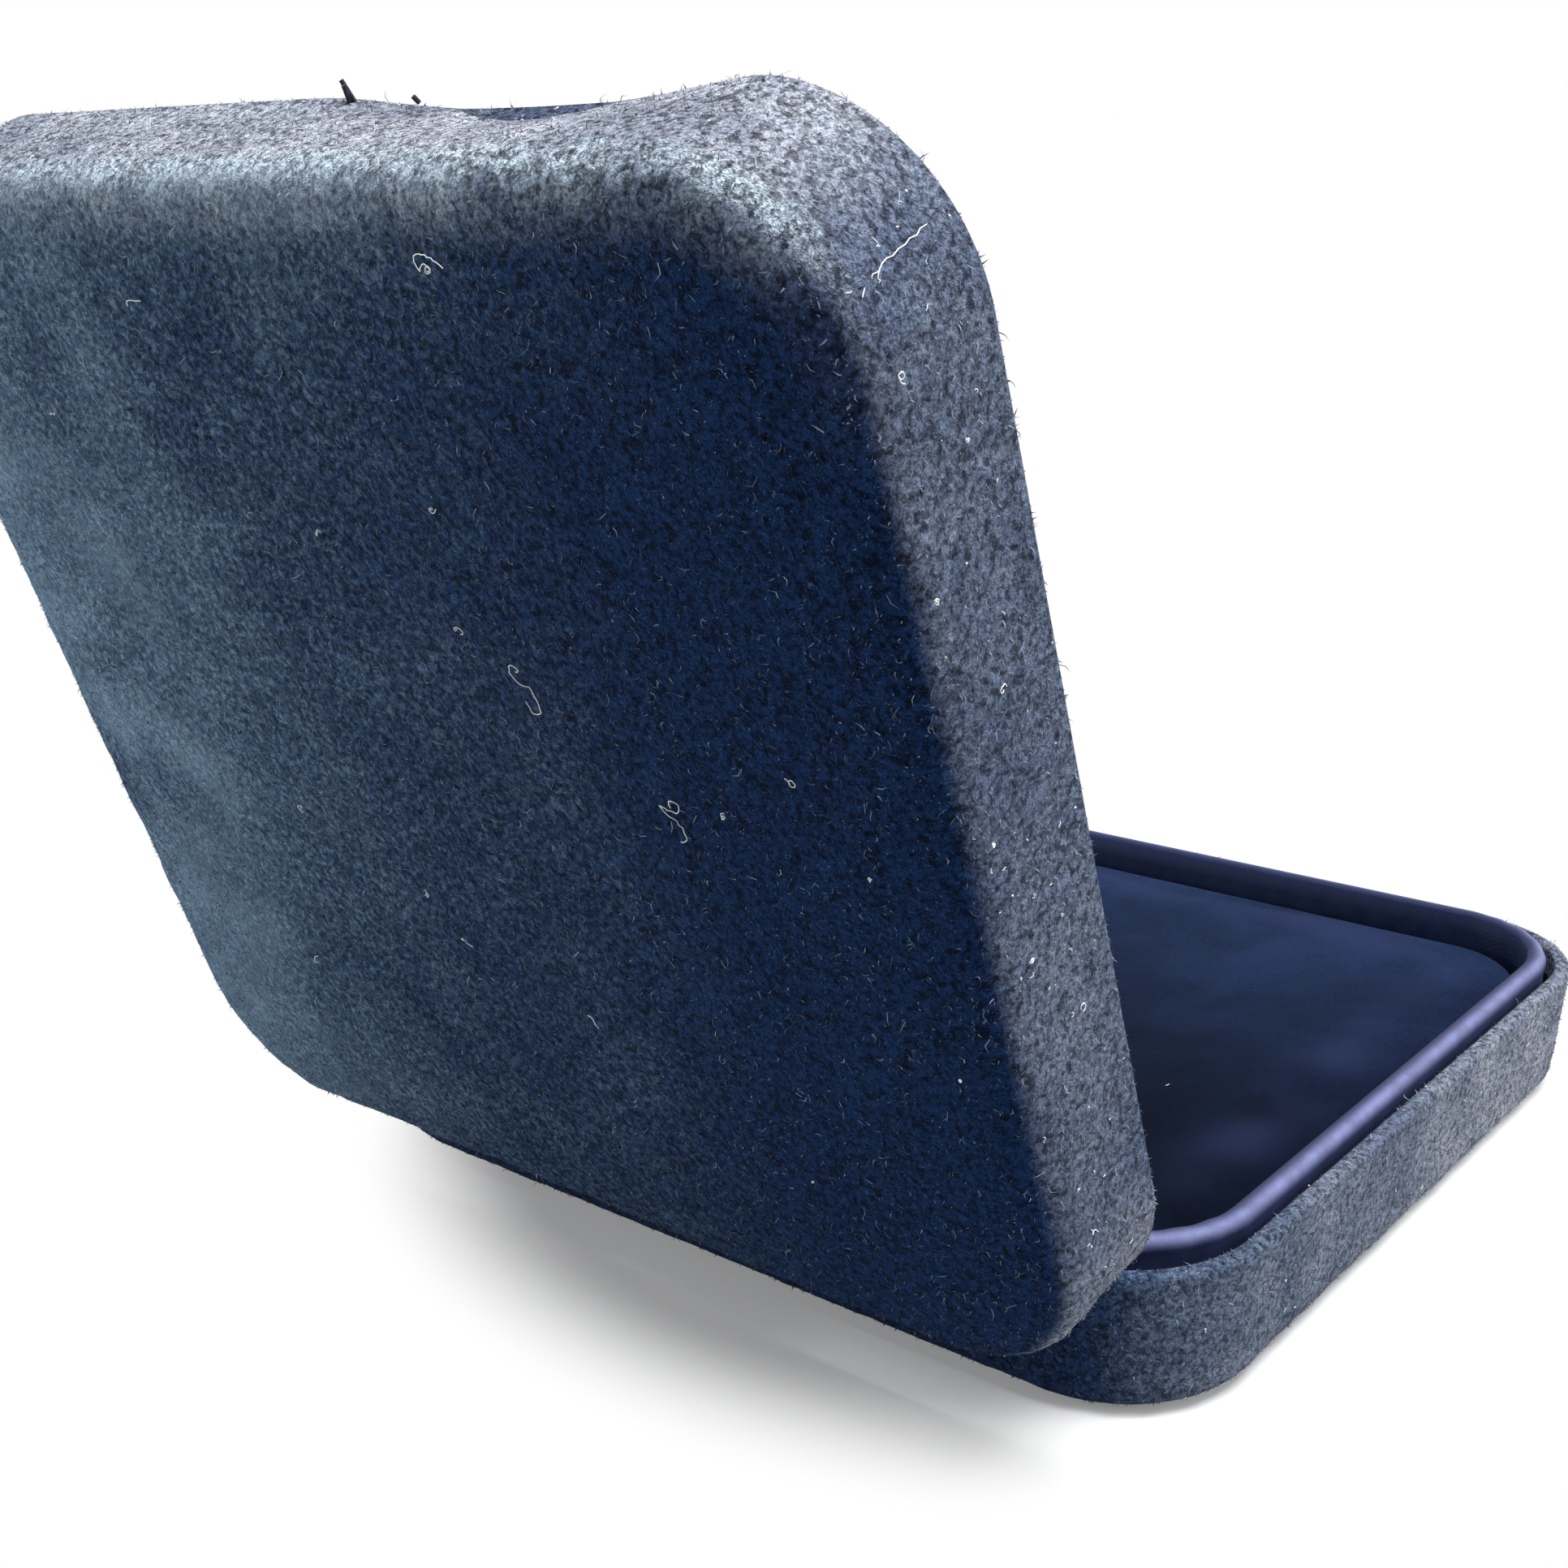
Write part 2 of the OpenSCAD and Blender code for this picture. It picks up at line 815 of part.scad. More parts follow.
module lid_steel() {
  difference() {
    union() {
      case_sweep()
        difference() {
          lid_steel_outline(suede_t);
          lid_steel_outline(steel_face);
          band(-over, rim_fold);
        }
      case_centre(lid_ceiling, lid_steel_top);
    }
    dip_body(dip_suede_t);
  }
  intersection() {
    dip_sheet(dip_suede_t, dip_suede_t + steel_t);
    lid_body(suede_t, rim_fold);
  }
}

module lid_cover() {
  color([0.17, 0.23, 0.3])
    swing()
      difference() {
        lid_closed()
          lid_suede();
        hinge_groove();
        lid_closed() {
          rim_slot(barrel_half + notch_gap, leaf_drop + leaf_t);
          turn_in_gap_clear();
        }
      }
}

module lid_suede() {
  difference() {
    union() {
      case_sweep() {
        difference() {
          lid_outline(0);
          lid_outline(suede_t);
          band(-over, rim_fold);
        }
        rim_fold_outline(lid_tilt, turn_in);
      }
      case_centre(lid_h - suede_t, lid_h);
    }
    dip_body(0);
    dip_steel_room();
  }
  dip_suede();
}

// Room that the pressed-in steel takes up behind the suede
module dip_steel_room() {
  intersection() {
    dip_body(dip_suede_t + steel_t);
    lid_body(suede_t, rim_fold);
  }
}

// The suede that follows the dip: in front of the steel, over its edge and behind it
module dip_suede() {
  behind = dip_suede_t + steel_t;
  dip_turn_in = turn_in - turn_t;
  intersection() {
    dip_sheet(0, dip_suede_t);
    lid_body(0, rim_fold);
  }
  intersection() {
    dip_sheet(0, behind + turn_t);
    lid_body(0, 0);
    translate([0, 0, rim_fold / 2])
      cube([case_w, case_d, rim_fold], center = true);
  }
  intersection() {
    dip_sheet(behind, behind + turn_t);
    lid_body(steel_face + turn_t / 2, rim_fold);
    translate([0, 0, dip_turn_in / 2])
      cube([case_w, case_d, dip_turn_in], center = true);
  }
}

module lid_wadding() {
  color("beige")
    lid_place() {
      case_sweep()
        difference() {
          crown_outline(lid_h, lid_tilt, lid_edge_r, crown_r, suede_t);
          translate([-over, -over])
            square([corner_r + 2 * over, lid_steel_top + over]);
          translate([-over, -over])
            square([wadding_set + over, lid_h + 2 * over]);
        }
      case_centre(lid_steel_top, lid_h - suede_t);
    }
}

module lid_board() {
  inset = wall_inset(lid_tilt, steel_face, lid_ceiling) + lid_edge_r;
  color("tan")
    lid_place()
      plate(case_w - 2 * inset, case_d - 2 * inset, corner_r - inset, lid_pad_back, lid_ceiling);
}

// Turns what is drawn upwards so that it hangs from the lid's board
module hang_from_board() {
  lid_place()
    translate([0, 0, lid_pad_back])
      mirror([0, 0, 1])
        children();
}

module lid_frame() {
  color("tan")
    hang_from_board()
      lip_card(lid_pad_back - frame_rise);
}

module lid_frame_cover() {
  color([0.33, 0.33, 0.62])
    hang_from_board()
      lip_satin(lid_pad_back - frame_rise);
}

module lid_pad_foam() {
  color("beige")
    hang_from_board()
      pad_fill(lid_pad_back - lid_pad_face, lid_pad_edge_r, satin_t, 0);
}

module lid_pad_cover() {
  color([0.3, 0.3, 0.58])
    hang_from_board()
      pad_skin(lid_pad_back - lid_pad_face, lid_pad_edge_r, satin_t);
}

// ---- Hinge, lid side ----

// The cam knuckle: round, with a flat for the closed lid and one for the open lid
module cam_knuckle() {
  half = cam_l / 2;
  difference() {
    barrel(-half, half, barrel_r);
    for (turned = [0, open_angle])
      translate([-half - over, axis_y, axis_z])
        rotate([cam_contact + turned, 0, 0])
          translate([0, flat_reach, -2 * barrel_r])
            cube([cam_l + 2 * over, barrel_r, 4 * barrel_r]);
  }
}

module lid_leaf_half() {
  inner = lid_knuckle[0] - dog_l;
  dog_start = dog_base_start + dog_angle + stop_slack + open_angle;
  barrel(lid_knuckle[0], lid_knuckle[1], barrel_r);
  barrel_wedge(inner + knuckle_gap / 2, lid_knuckle[0] + over / 2, dog_start, dog_angle);
  rear_extrude(lid_knuckle[0], lid_knuckle[1], lid_rim_z)
    leaf_outline(lid_tilt);
}

module lid_hinge_leaf() {
  color("silver")
    swing()
      difference() {
        union() {
          cam_knuckle();
          rear_extrude(-cam_l / 2, cam_l / 2, lid_rim_z)
            leaf_outline(lid_tilt);
          lid_leaf_half();
          mirror([1, 0, 0])
            lid_leaf_half();
          rear_extrude(-barrel_half, barrel_half, lid_rim_z)
            leaf_plate_outline(lid_tilt, spring_notch);
        }
        barrel(-2 * barrel_half, 2 * barrel_half, pin_r + pin_clearance);
        lid_closed()
          hole_row(lid_rivet_x, lid_tilt);
      }
}

module lid_rivets() {
  color("gainsboro")
    lid_place()
      rivet_row(lid_rivet_x, lid_tilt, leaf_t);
}

// ---- Nodes ----

base_shell();
base_cover();
sole_panel();
tray_board();
lip_frame();
lip_cover();
bed_board();
bed_foam();
bed_velvet();
base_hinge_leaf();
base_rivets();
snap_spring();
hinge_pin();
lid_shell();
lid_cover();
lid_wadding();
lid_board();
lid_frame();
lid_frame_cover();
lid_pad_foam();
lid_pad_cover();
lid_hinge_leaf();
lid_rivets();
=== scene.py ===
"""Dresses the hinged instrument case: suede wraps, satin lip, velvet bed, padded lid."""

import math

import bmesh
import bpy
import numpy as np
from bpy.props import FloatProperty, FloatVectorProperty, IntProperty, PointerProperty
from mathutils import Matrix, Vector, noise


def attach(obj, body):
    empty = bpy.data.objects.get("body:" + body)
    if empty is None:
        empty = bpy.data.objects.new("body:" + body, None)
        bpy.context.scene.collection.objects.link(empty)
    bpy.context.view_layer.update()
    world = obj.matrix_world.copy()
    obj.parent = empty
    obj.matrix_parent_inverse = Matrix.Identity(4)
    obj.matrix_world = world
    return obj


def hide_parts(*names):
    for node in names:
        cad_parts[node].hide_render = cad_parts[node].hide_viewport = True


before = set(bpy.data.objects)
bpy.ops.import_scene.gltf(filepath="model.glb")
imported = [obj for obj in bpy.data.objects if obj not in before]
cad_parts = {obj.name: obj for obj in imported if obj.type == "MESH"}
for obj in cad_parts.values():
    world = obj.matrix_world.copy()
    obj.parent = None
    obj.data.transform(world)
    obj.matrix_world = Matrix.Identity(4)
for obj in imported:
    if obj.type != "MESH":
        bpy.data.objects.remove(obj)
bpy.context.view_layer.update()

bl_info = {
    "name": "Instrument Case Dresser",
    "version": (1, 0, 0),
    "blender": (4, 5, 0),
    "location": "3D View > Sidebar > Case",
    "description": "Dresses a hinged instrument case in suede, satin and velvet",
    "category": "Object",
}

MM = 0.001


def linear(code):
    """The linear colour that an sRGB hex code stands for."""
    parts = [int(code[at : at + 2], 16) / 255 for at in (1, 3, 5)]
    return tuple(
        part / 12.92 if part <= 0.04045 else ((part + 0.055) / 1.055) ** 2.4
        for part in parts
    )


def length(label, about, mm):
    """A length property whose default is given in millimetres."""
    return FloatProperty(
        name=label,
        description=about,
        default=mm * MM,
        precision=5,
        unit="LENGTH",
        subtype="DISTANCE",
    )


def number(label, about, default):
    """A whole-number property."""
    return IntProperty(name=label, description=about, default=default)


def colour(label, about, code):
    """A colour property whose default is an sRGB hex code."""
    return FloatVectorProperty(
        name=label,
        description=about,
        default=linear(code),
        size=3,
        min=0,
        max=1,
        subtype="COLOR",
    )


class CaseSizes(bpy.types.PropertyGroup):
    """Sizes of the case that its dressing follows."""

    width: length("Width", "Width over the suede, along the hinge", 102)
    depth: length("Depth", "Depth over the suede, front to rear", 95)
    corner: length("Corner", "Corner radius in plan", 14)
    base_height: length("Base height", "Underside to the suede rim of the base", 13.8)
    sole_proud: length("Sole", "How far the sole stands below the suede", 0.4)
    lid_height: length("Lid height", "Suede rim of the lid to the top of its crown", 13)
    rim_gap: length("Rim gap", "Gap between the suede rims when closed", 0.3)
    base_lean: length("Base lean", "How far the base's walls lean in", 1.2)
    lid_lean: length("Lid lean", "How far the lid's walls lean in", 0.9)
    base_edge: length("Base edge", "Edge radius under the base", 2.6)
    lid_edge: length("Lid edge", "Edge radius round the lid's face", 3.2)
    crown: length("Crown", "Radius of the crown across the edge band of the lid", 66)
    suede: length("Suede", "Thickness of the suede", 0.8)
    wall: length("Wall", "Suede, steel and turned-in suede together", 1.6)
    turn_in: length("Turn-in", "How far the suede is turned in behind the rim", 2.6)
    turn_under: length("Turn-under", "How far the suede is turned under the base", 9)
    sole_gap: length("Sole gap", "Clearance round the sole panel", 0.3)
    dip_place: length("Dip place", "Place of the finger dip along the front", -19)
    dip_depth: length("Dip depth", "Depth of the finger dip at the rim", 1.6)
    dip_long: length("Dip length radius", "Radius of the dip along the wall", 98)
    dip_high: length("Dip height radius", "Radius of the dip up the wall", 24)
    open_angle: FloatProperty(
        name="Open angle",
        description="Angle of the lid on its stop",
        default=math.radians(108),
        subtype="ANGLE",
    )


class HingeSizes(bpy.types.PropertyGroup):
    """Sizes of the cut-outs that the hinge needs in the suede."""

    groove_half: length("Groove", "Half length of the groove round the barrel", 19.5)
    groove_radius: length("Groove radius", "Radius of the groove round the barrel", 1.5)
    slot_half: length("Leaf slot", "Half length of the slot for the leaf", 19.1)
    slot_depth: length("Leaf slot depth", "Depth of that slot below the rim", 0.55)
    spring_half: length("Spring slot", "Half length of the slot for the spring", 3.3)
    spring_depth: length("Spring slot depth", "Depth of that slot below the rim", 3)
    leaf_height: length("Leaf", "How far the leaf reaches behind the wall", 6.4)


class LiningSizes(bpy.types.PropertyGroup):
    """Sizes of the lip, the bed and the lid's lining."""

    lip_side: length("Lip at the sides", "Case's outer face to the lip at a side", 1.95)
    lip_end: length("Lip at the ends", "Case's outer face to the lip at the front", 3.2)
    lip_corner: length("Lip corner", "Corner radius of the lip in plan", 12.6)
    bead: length("Bead", "Radius of the lip's rolled edge", 1.05)
    lip_wall: length("Lip wall", "Half thickness of the lip below its bead", 0.85)
    lip_raise: length("Lip raise", "How far the lip stands above the suede rim", 1.7)
    satin_inside: length("Satin inside", "Depth of the satin inside the lip", 6.4)
    satin_outside: length("Satin outside", "Depth of the satin outside the lip", 6)
    tray_top: length("Tray top", "Height of the tray's card", 2.7)
    bed_drop: length("Bed drop", "Top of the lip to the bed", 2.7)
    bed_edge: length("Bed edge", "Radius of the bed's rolled edge", 2.2)
    pad_gap: length("Pad gap", "Clearance round the bed and the pad", 0.3)
    pad_edge: length("Pad edge", "Radius of the lid pad's rolled edge", 1.3)
    pad_back: length("Pad back", "Rim plane of the lid to the back of its pad", 10.07)
    pad_face: length("Pad face", "Rim plane of the lid to the face of its pad", 8.37)
    frame_rise: length("Frame rise", "Rim plane to the lining frame's edge", 3.3)
    velvet_swell: length("Velvet swell", "Most that the velvet pillows out", 0.55)
    satin_swell: length("Satin swell", "Most that the lid's pad pillows out", 0.7)


class NapSizes(bpy.types.PropertyGroup):
    """Sizes of the suede's nap and of the lint on it."""

    tuft_length: length("Tuft length", "Length of a raised tuft of suede", 0.4)
    tuft_width: length("Tuft width", "Width of a raised tuft at its foot", 0.13)
    fibre_length: length("Fibre length", "Length of a long, curled fibre", 0.8)
    fibre_width: length("Fibre width", "Width of a long, curled fibre", 0.09)
    lid_tufts: number("Lid tufts", "Raised tufts on the lid", 124000)
    base_tufts: number("Base tufts", "Raised tufts on the base", 60000)
    long_share: FloatProperty(
        name="Long fibres", description="Long fibres per tuft", default=0.12
    )
    specks: number("Specks", "Short ends of lint caught in the nap", 620)
    lint_radius: length("Lint radius", "Radius of a strand of lint", 0.037)
    seed: number("Seed", "Seed of the random draws", 7)


class CaseColours(bpy.types.PropertyGroup):
    """Colours of the case's materials."""

    suede_navy: colour("Suede navy", "Dyed suede where the nap stands", "#122a4f")
    # Across the lid's face the slate is also laid as painted light, lighter towards +X
    suede_slate: colour("Suede slate", "Dyed suede where the nap lies flat", "#7892a8")
    # A painted highlight: along the lid's crest, and as painted glints on the brightest fibres
    suede_painted_highlight: colour("Suede bloom", "Raised nap that catches the light", "#b4c4d2")
    # Pale from rubbing, and also painted light on the lid's walls that face the lamps
    suede_worn_and_painted_light: colour("Suede worn", "Suede rubbed pale along its edges", "#b0b3be")
    satin: colour("Satin", "Satin of the lip and the lid", "#1b2342")
    # Tint of the satin's highlight: its specular and sheen tint, and the painted highlight on the
    # lip's shoulder
    satin_highlight: colour("Satin float", "Sheen along the satin's floats", "#9aa0cf")
    velvet: colour("Velvet", "Velvet of the bed", "#111b31")
    # A painted sheen, laid in a band near the bed's edges
    velvet_painted_sheen: colour("Turned velvet", "Velvet where its pile turns away", "#30375c")
    card: colour("Card", "Card under the linings", "#8a765c")
    foam: colour("Foam", "Foam and wadding", "#d8d2c0")
    lacquer: colour("Lacquer", "Lacquer on the pressed steel", "#33363c")
    nickel: colour("Nickel", "Nickel plate on the hinge", "#c9c5bb")
    blued: colour("Blued steel", "Blued spring", "#3d4657")
    lint: colour("Lint", "Lint caught in the nap", "#fbf9f3")
    lint_grey: colour("Grey lint", "Lint that has picked up dust", "#dfe4e6")
    thread: colour("Thread", "Sewing thread caught at the rim", "#2c2c36")
    floor: colour("Floor", "Floor and backdrop", "#f4f4f4")


# Thickness of the suede's and the satin's meshes, which show only their outer faces
SUEDE_MESH, SATIN_MESH = 0.3 * MM, 0.25 * MM
# Outer radius of a rolled rim, as a share of the suede's thickness
RIM_ROUND = 0.9
# Inset at which the rings of the lid's crown end and its grid begins
CROWN_GRID = 10.4 * MM
# Spacing of the vertices along a pad's sides
PAD_CELL = 2.4 * MM
# How far the velvet and the pad's satin stand off their foam
VELVET_COVER, SATIN_COVER = 0.45 * MM, 0.1 * MM
# How the suede's nap is at each vertex: rubbed pale, and on the walls that face the lamps also
# painted light; laid flat, which across the lid's face is also painted light; and a painted
# highlight along the crest
NAP_STATE = ("wear_and_painted_light", "flat_nap_and_painted_light", "painted_highlight")


# ---- Helpers ----


def settings(context, *groups):
    """The scene's groups of sizes with the given names."""
    return [getattr(context.scene, "case_" + group) for group in groups]


def clear_selection():
    """Leaves edit mode and deselects everything."""
    if bpy.context.mode != "OBJECT":
        bpy.ops.object.mode_set(mode="OBJECT")
    bpy.ops.object.select_all(action="DESELECT")


def activate(*pieces):
    """Selects the pieces alone, with the first one active."""
    clear_selection()
    for piece in pieces:
        piece.select_set(True)
    bpy.context.view_layer.objects.active = pieces[0]


def edit(piece, mode="VERT"):
    """Opens the piece alone in edit mode, with all of it selected."""
    activate(piece)
    bpy.ops.object.mode_set(mode="EDIT")
    bpy.ops.mesh.select_mode(type=mode)
    bpy.ops.mesh.select_all(action="SELECT")


def select_edges(piece, wanted):
    """Selects the edges for which wanted(start, end) holds, in edit mode."""
    bpy.ops.mesh.select_all(action="DESELECT")
    mesh = bmesh.from_edit_mesh(piece.data)
    for edge in mesh.edges:
        edge.select_set(bool(wanted(*edge.verts)))
    mesh.select_flush_mode()
    bmesh.update_edit_mesh(piece.data)


def link(name, data):
    """A new object in the scene that holds the data."""
    piece = bpy.data.objects.new(name, data)
    bpy.context.scene.collection.objects.link(piece)
    return piece


def apply_modifier(piece, kind, **values):
    """Adds a modifier to the piece and applies it."""
    activate(piece)
    modifier = piece.modifiers.new(kind.title(), kind)
    for name, value in values.items():
        setattr(modifier, name, value)
    bpy.ops.object.modifier_apply(modifier=modifier.name)


def read(items, field, width=1, kind=float):
    """A field of every item, as an array with a row for each."""
    flat = np.empty(width * len(items), dtype=kind)
    items.foreach_get(field, flat)
    return flat.reshape(-1, width)


def points(piece):
    """The piece's vertices as an array."""
    return read(piece.data.vertices, "co", 3)


def normals(piece):
    """The piece's vertex normals as an array."""
    return read(piece.data.vertex_normals, "vector", 3)


def set_points(piece, places):
    """Writes the piece's vertices back from an array."""
    piece.data.vertices.foreach_set("co", places.ravel())
    piece.data.update()


def set_attribute(piece, name, values):
    """Stores a number from 0 to 1 per vertex for the material to read."""
    layer = piece.data.attributes.new(name, "FLOAT", "POINT")
    layer.data.foreach_set("value", np.clip(values + np.zeros(len(layer.data)), 0, 1))


def set_nap(piece, *values):
    """Stores how the nap is at each vertex, in the order of NAP_STATE."""
    for name, value in zip(NAP_STATE, values):
        set_attribute(piece, name, value)


def wander(places, size, seed):
    """Smooth noise in -1 to 1 at each place, with features of the given size."""
    shift = Vector((seed * 3.7, seed * 1.3, seed * 2.1))
    return np.array(
        [noise.fractal(Vector(place) / size + shift, 1.0, 2.0, 2) for place in places]
    )


def smooth_step(value, low, high):
    """0 below low, 1 above high, and smooth between."""
    part = np.clip((value - low) / (high - low), 0, 1)
    return part * part * (3 - 2 * part)


def step_mm(value, low, high):
    """smooth_step over a length, with its limits in millimetres."""
    return smooth_step(value, low * MM, high * MM)


def unit(vectors):
    """Vectors scaled to length 1."""
    return vectors / np.maximum(np.linalg.norm(vectors, axis=1), 1e-12)[:, None]


def inset_of(places, width, depth, corner):
    """How far each place lies inside the outline of a rounded rectangle."""
    gap_x = np.maximum(np.abs(places[:, 0]) - width / 2 + corner, 0)
    gap_y = np.maximum(np.abs(places[:, 1]) - depth / 2 + corner, 0)
    return corner - np.hypot(gap_x, gap_y)


def finish_piece(piece, body, finish, slot, *replaced, angle=50):
    """Gives a finished piece its shading, material and body, and hides the parts that it
    replaces.
    """
    if angle:
        activate(piece)
        bpy.ops.object.shade_smooth_by_angle(angle=math.radians(angle))
    cover(piece, finish)
    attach(piece, body)
    if replaced:
        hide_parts(*replaced)


# ---- Skins: an outline inset ring by ring along a profile ----


def outline_plate(name, width, depth, radius, height, cuts, spacing):
    """A flat plate with rounded corners and evenly cut sides, open in edit mode."""
    clear_selection()
    bpy.ops.mesh.primitive_plane_add(size=1, location=(0, 0, height))
    plate = bpy.context.object
    plate.name = plate.data.name = name
    plate.scale = (width, depth, 1)
    bpy.ops.object.transform_apply(location=True, rotation=False, scale=True)
    edit(plate, "EDGE")
    bpy.ops.mesh.bevel(affect="VERTICES", offset=radius, segments=cuts, profile=0.5)
    bpy.ops.mesh.select_all(action="SELECT")
    bpy.ops.mesh.delete(type="ONLY_FACE")
    cells = []
    for axis, side in ((0, width), (1, depth)):
        run = side - 2 * radius
        count = 2 * round(run / spacing / 2)
        select_edges(plate, lambda a, b: abs(a.co[axis] - b.co[axis]) > run * 0.9)
        bpy.ops.mesh.subdivide(number_cuts=count - 1)
        cells.append(count + cuts)
    bpy.ops.mesh.select_all(action="SELECT")
    bpy.ops.mesh.edge_face_add()
    mesh = bmesh.from_edit_mesh(plate.data)
    mesh.faces.ensure_lookup_table()
    mesh.faces[0].normal_update()
    if mesh.faces[0].normal.z < 0:
        bpy.ops.mesh.flip_normals()
    return plate, cells


def inset_along(profile, rise_sign):
    """Insets the selected face from point to point of a profile of (inset, height)."""
    for (inset, height), (next_inset, next_height) in zip(profile, profile[1:]):
        bpy.ops.mesh.inset(
            thickness=next_inset - inset,
            depth=rise_sign * (next_height - height),
            use_even_offset=True,
        )


def fill_last_ring(piece, cells):
    """Replaces the last, many-sided face by an even grid."""
    mesh = bmesh.from_edit_mesh(piece.data)
    last = next(face for face in mesh.faces if face.select)
    ring = {vert.index for vert in last.verts}
    bpy.ops.mesh.delete(type="ONLY_FACE")
    select_edges(piece, lambda a, b: a.index in ring and b.index in ring)
    mesh = bmesh.from_edit_mesh(piece.data)
    corner = max(
        (vert for vert in mesh.verts if vert.index in ring),
        key=lambda vert: vert.co.x + vert.co.y,
    )
    mesh.select_history.clear()
    mesh.select_history.add(corner)
    bmesh.update_edit_mesh(piece.data)
    before = len(mesh.verts)
    bpy.ops.mesh.fill_grid(span=cells[0], offset=0, use_interp_simple=True)
    if len(bmesh.from_edit_mesh(piece.data).verts) == before:
        raise RuntimeError(f"{piece.name}: the grid did not fill the last ring")


def skin(name, plan, height, over, under, fill, cuts=30, spacing=0.74 * MM):
    """A skin over a rounded rectangle.

    plan is (width, depth, corner radius) at its widest ring, at the given height.
    over and under are profiles of (inset, height) that start at that ring, and fill
    closes the far end of the first with a grid.
    """
    upper, cells = outline_plate(name, *plan, height, cuts, spacing)
    inset_along(over, 1)
    if fill:
        fill_last_ring(upper, cells)
    else:
        bpy.ops.mesh.delete(type="ONLY_FACE")
    if under:
        lower, _ = outline_plate(name + "_under", *plan, height, cuts, spacing)
        bpy.ops.mesh.flip_normals()
        inset_along(under, -1)
        bpy.ops.mesh.delete(type="ONLY_FACE")
        activate(upper, lower)
        bpy.ops.object.join()
    edit(upper)
    bpy.ops.mesh.remove_doubles(threshold=0.01 * MM)
    clear_selection()
    return upper


def arc(centre, radius, start, end, steps):
    """Points of an arc in a profile, with angles in degrees from +inset to +height."""
    angles = [math.radians(start + (end - start) * at / steps) for at in range(steps + 1)]
    return [
        (centre[0] + radius * math.cos(a), centre[1] + radius * math.sin(a)) for a in angles
    ]


def straight(start, end, steps):
    """Points of a straight run in a profile, without its start."""
    return [
        tuple(a + (b - a) * at / steps for a, b in zip(start, end))
        for at in range(1, steps + 1)
    ]


def rim_roll(size, lean):
    """The under side of a rolled rim: round the edge, across, and up behind the wall."""
    outer = RIM_ROUND * size.suede
    inner = 0.45 * MM
    roll = arc((outer, outer), outer, 180, 270, 5)
    across = straight(roll[-1], (size.wall - inner, 0), 1)
    turn = arc((size.wall - inner, inner), inner, 270, 360, 4)[1:]
    behind = straight(turn[-1], (size.wall + size.turn_in * lean, size.turn_in), 3)
    return roll + across + turn + behind


def bed_top(size, lining):
    """Height of the velvet bed's top."""
    return size.base_height + lining.lip_raise - lining.bed_drop


def edge_arc(size):
    """Centre of the lid's edge arc, and the angle at which it meets the crown."""
    slope = size.lid_lean / size.lid_height
    lean = math.atan(slope)
    reach = size.corner - size.lid_edge / math.cos(lean)
    crown_z = size.lid_height - size.crown
    a = 1 + slope * slope
    b = slope * reach + crown_z
    c = reach * reach + crown_z * crown_z - (size.crown - size.lid_edge) ** 2
    z = (b + math.sqrt(b * b - a * c)) / a
    centre = (slope * z + size.lid_edge / math.cos(lean), z)
    meet = math.degrees(math.atan2(centre[1] - crown_z, centre[0] - size.corner))
    return centre, meet, math.degrees(lean)


def push_dip(size, places):
    """Presses the finger dip into the front wall, as the steel under it is pressed."""
    ring = size.dip_long - size.dip_high
    centre_y = size.dip_depth - size.depth / 2 - size.dip_long
    out = np.hypot(places[:, 0] - size.dip_place, places[:, 1] - centre_y) - ring
    depth = size.dip_high - np.hypot(out, places[:, 2])
    ease = 0.22 * MM
    near = smooth_step(-places[:, 1], 0.38 * size.depth, 0.42 * size.depth)
    pressed = ease * np.logaddexp(0, depth / ease) * near
    places[:, 1] += pressed
    return pressed


def roughen(wrap, seed, outside, sink, bumps):
    """A skin's places, sunk a little and uneven.

    outside is 1 where that applies, and a bump is (size, seed step, height) in mm.
    """
    places = points(wrap)
    soft = sum(wander(places, size * MM, seed + step) * tall * MM for size, step, tall in bumps)
    return places + normals(wrap) * (soft * outside - sink * MM * outside)[:, None]


def swing_open(piece, size):
    """Lifts a piece of the closed lid and swings it open about the hinge."""
    hinge = Vector((0, size.depth / 2, size.base_height + size.rim_gap / 2))
    lift = Matrix.Translation((0, 0, size.base_height + size.rim_gap))
    turn = Matrix.Rotation(-size.open_angle, 4, "X")
    piece.data.transform(
        Matrix.Translation(hinge) @ turn @ Matrix.Translation(-hinge) @ lift
    )
    piece.data.update()


def hang(piece, back):
    """Turns a piece over in height, so that height 0 goes to the given height."""
    piece.data.transform(Matrix.Translation((0, 0, back)) @ Matrix.Diagonal((1, 1, -1, 1)))
    edit(piece)
    bpy.ops.mesh.flip_normals()
    clear_selection()


# ---- Nap and lint ----


def scatter(piece, count, draw, carried):
    """Random places on a mesh, evenly by area, with normals and carried attributes."""
    mesh = piece.data
    mesh.calc_loop_triangles()
    corners = read(mesh.loop_triangles, "vertices", 3, int)
    places = points(piece)
    a, b, c = (places[corners[:, at]] for at in range(3))
    area = np.linalg.norm(np.cross(b - a, c - a), axis=1)
    chosen = corners[draw.choice(len(corners), size=count, p=area / area.sum())]
    shares = draw.dirichlet((1, 1, 1), size=count)

    def between(values):
        return sum(shares[:, at : at + 1] * values[chosen[:, at]] for at in range(3))

    found = [between(read(mesh.attributes[name].data, "value"))[:, 0] for name in carried]
    return between(places), unit(between(normals(piece))), found


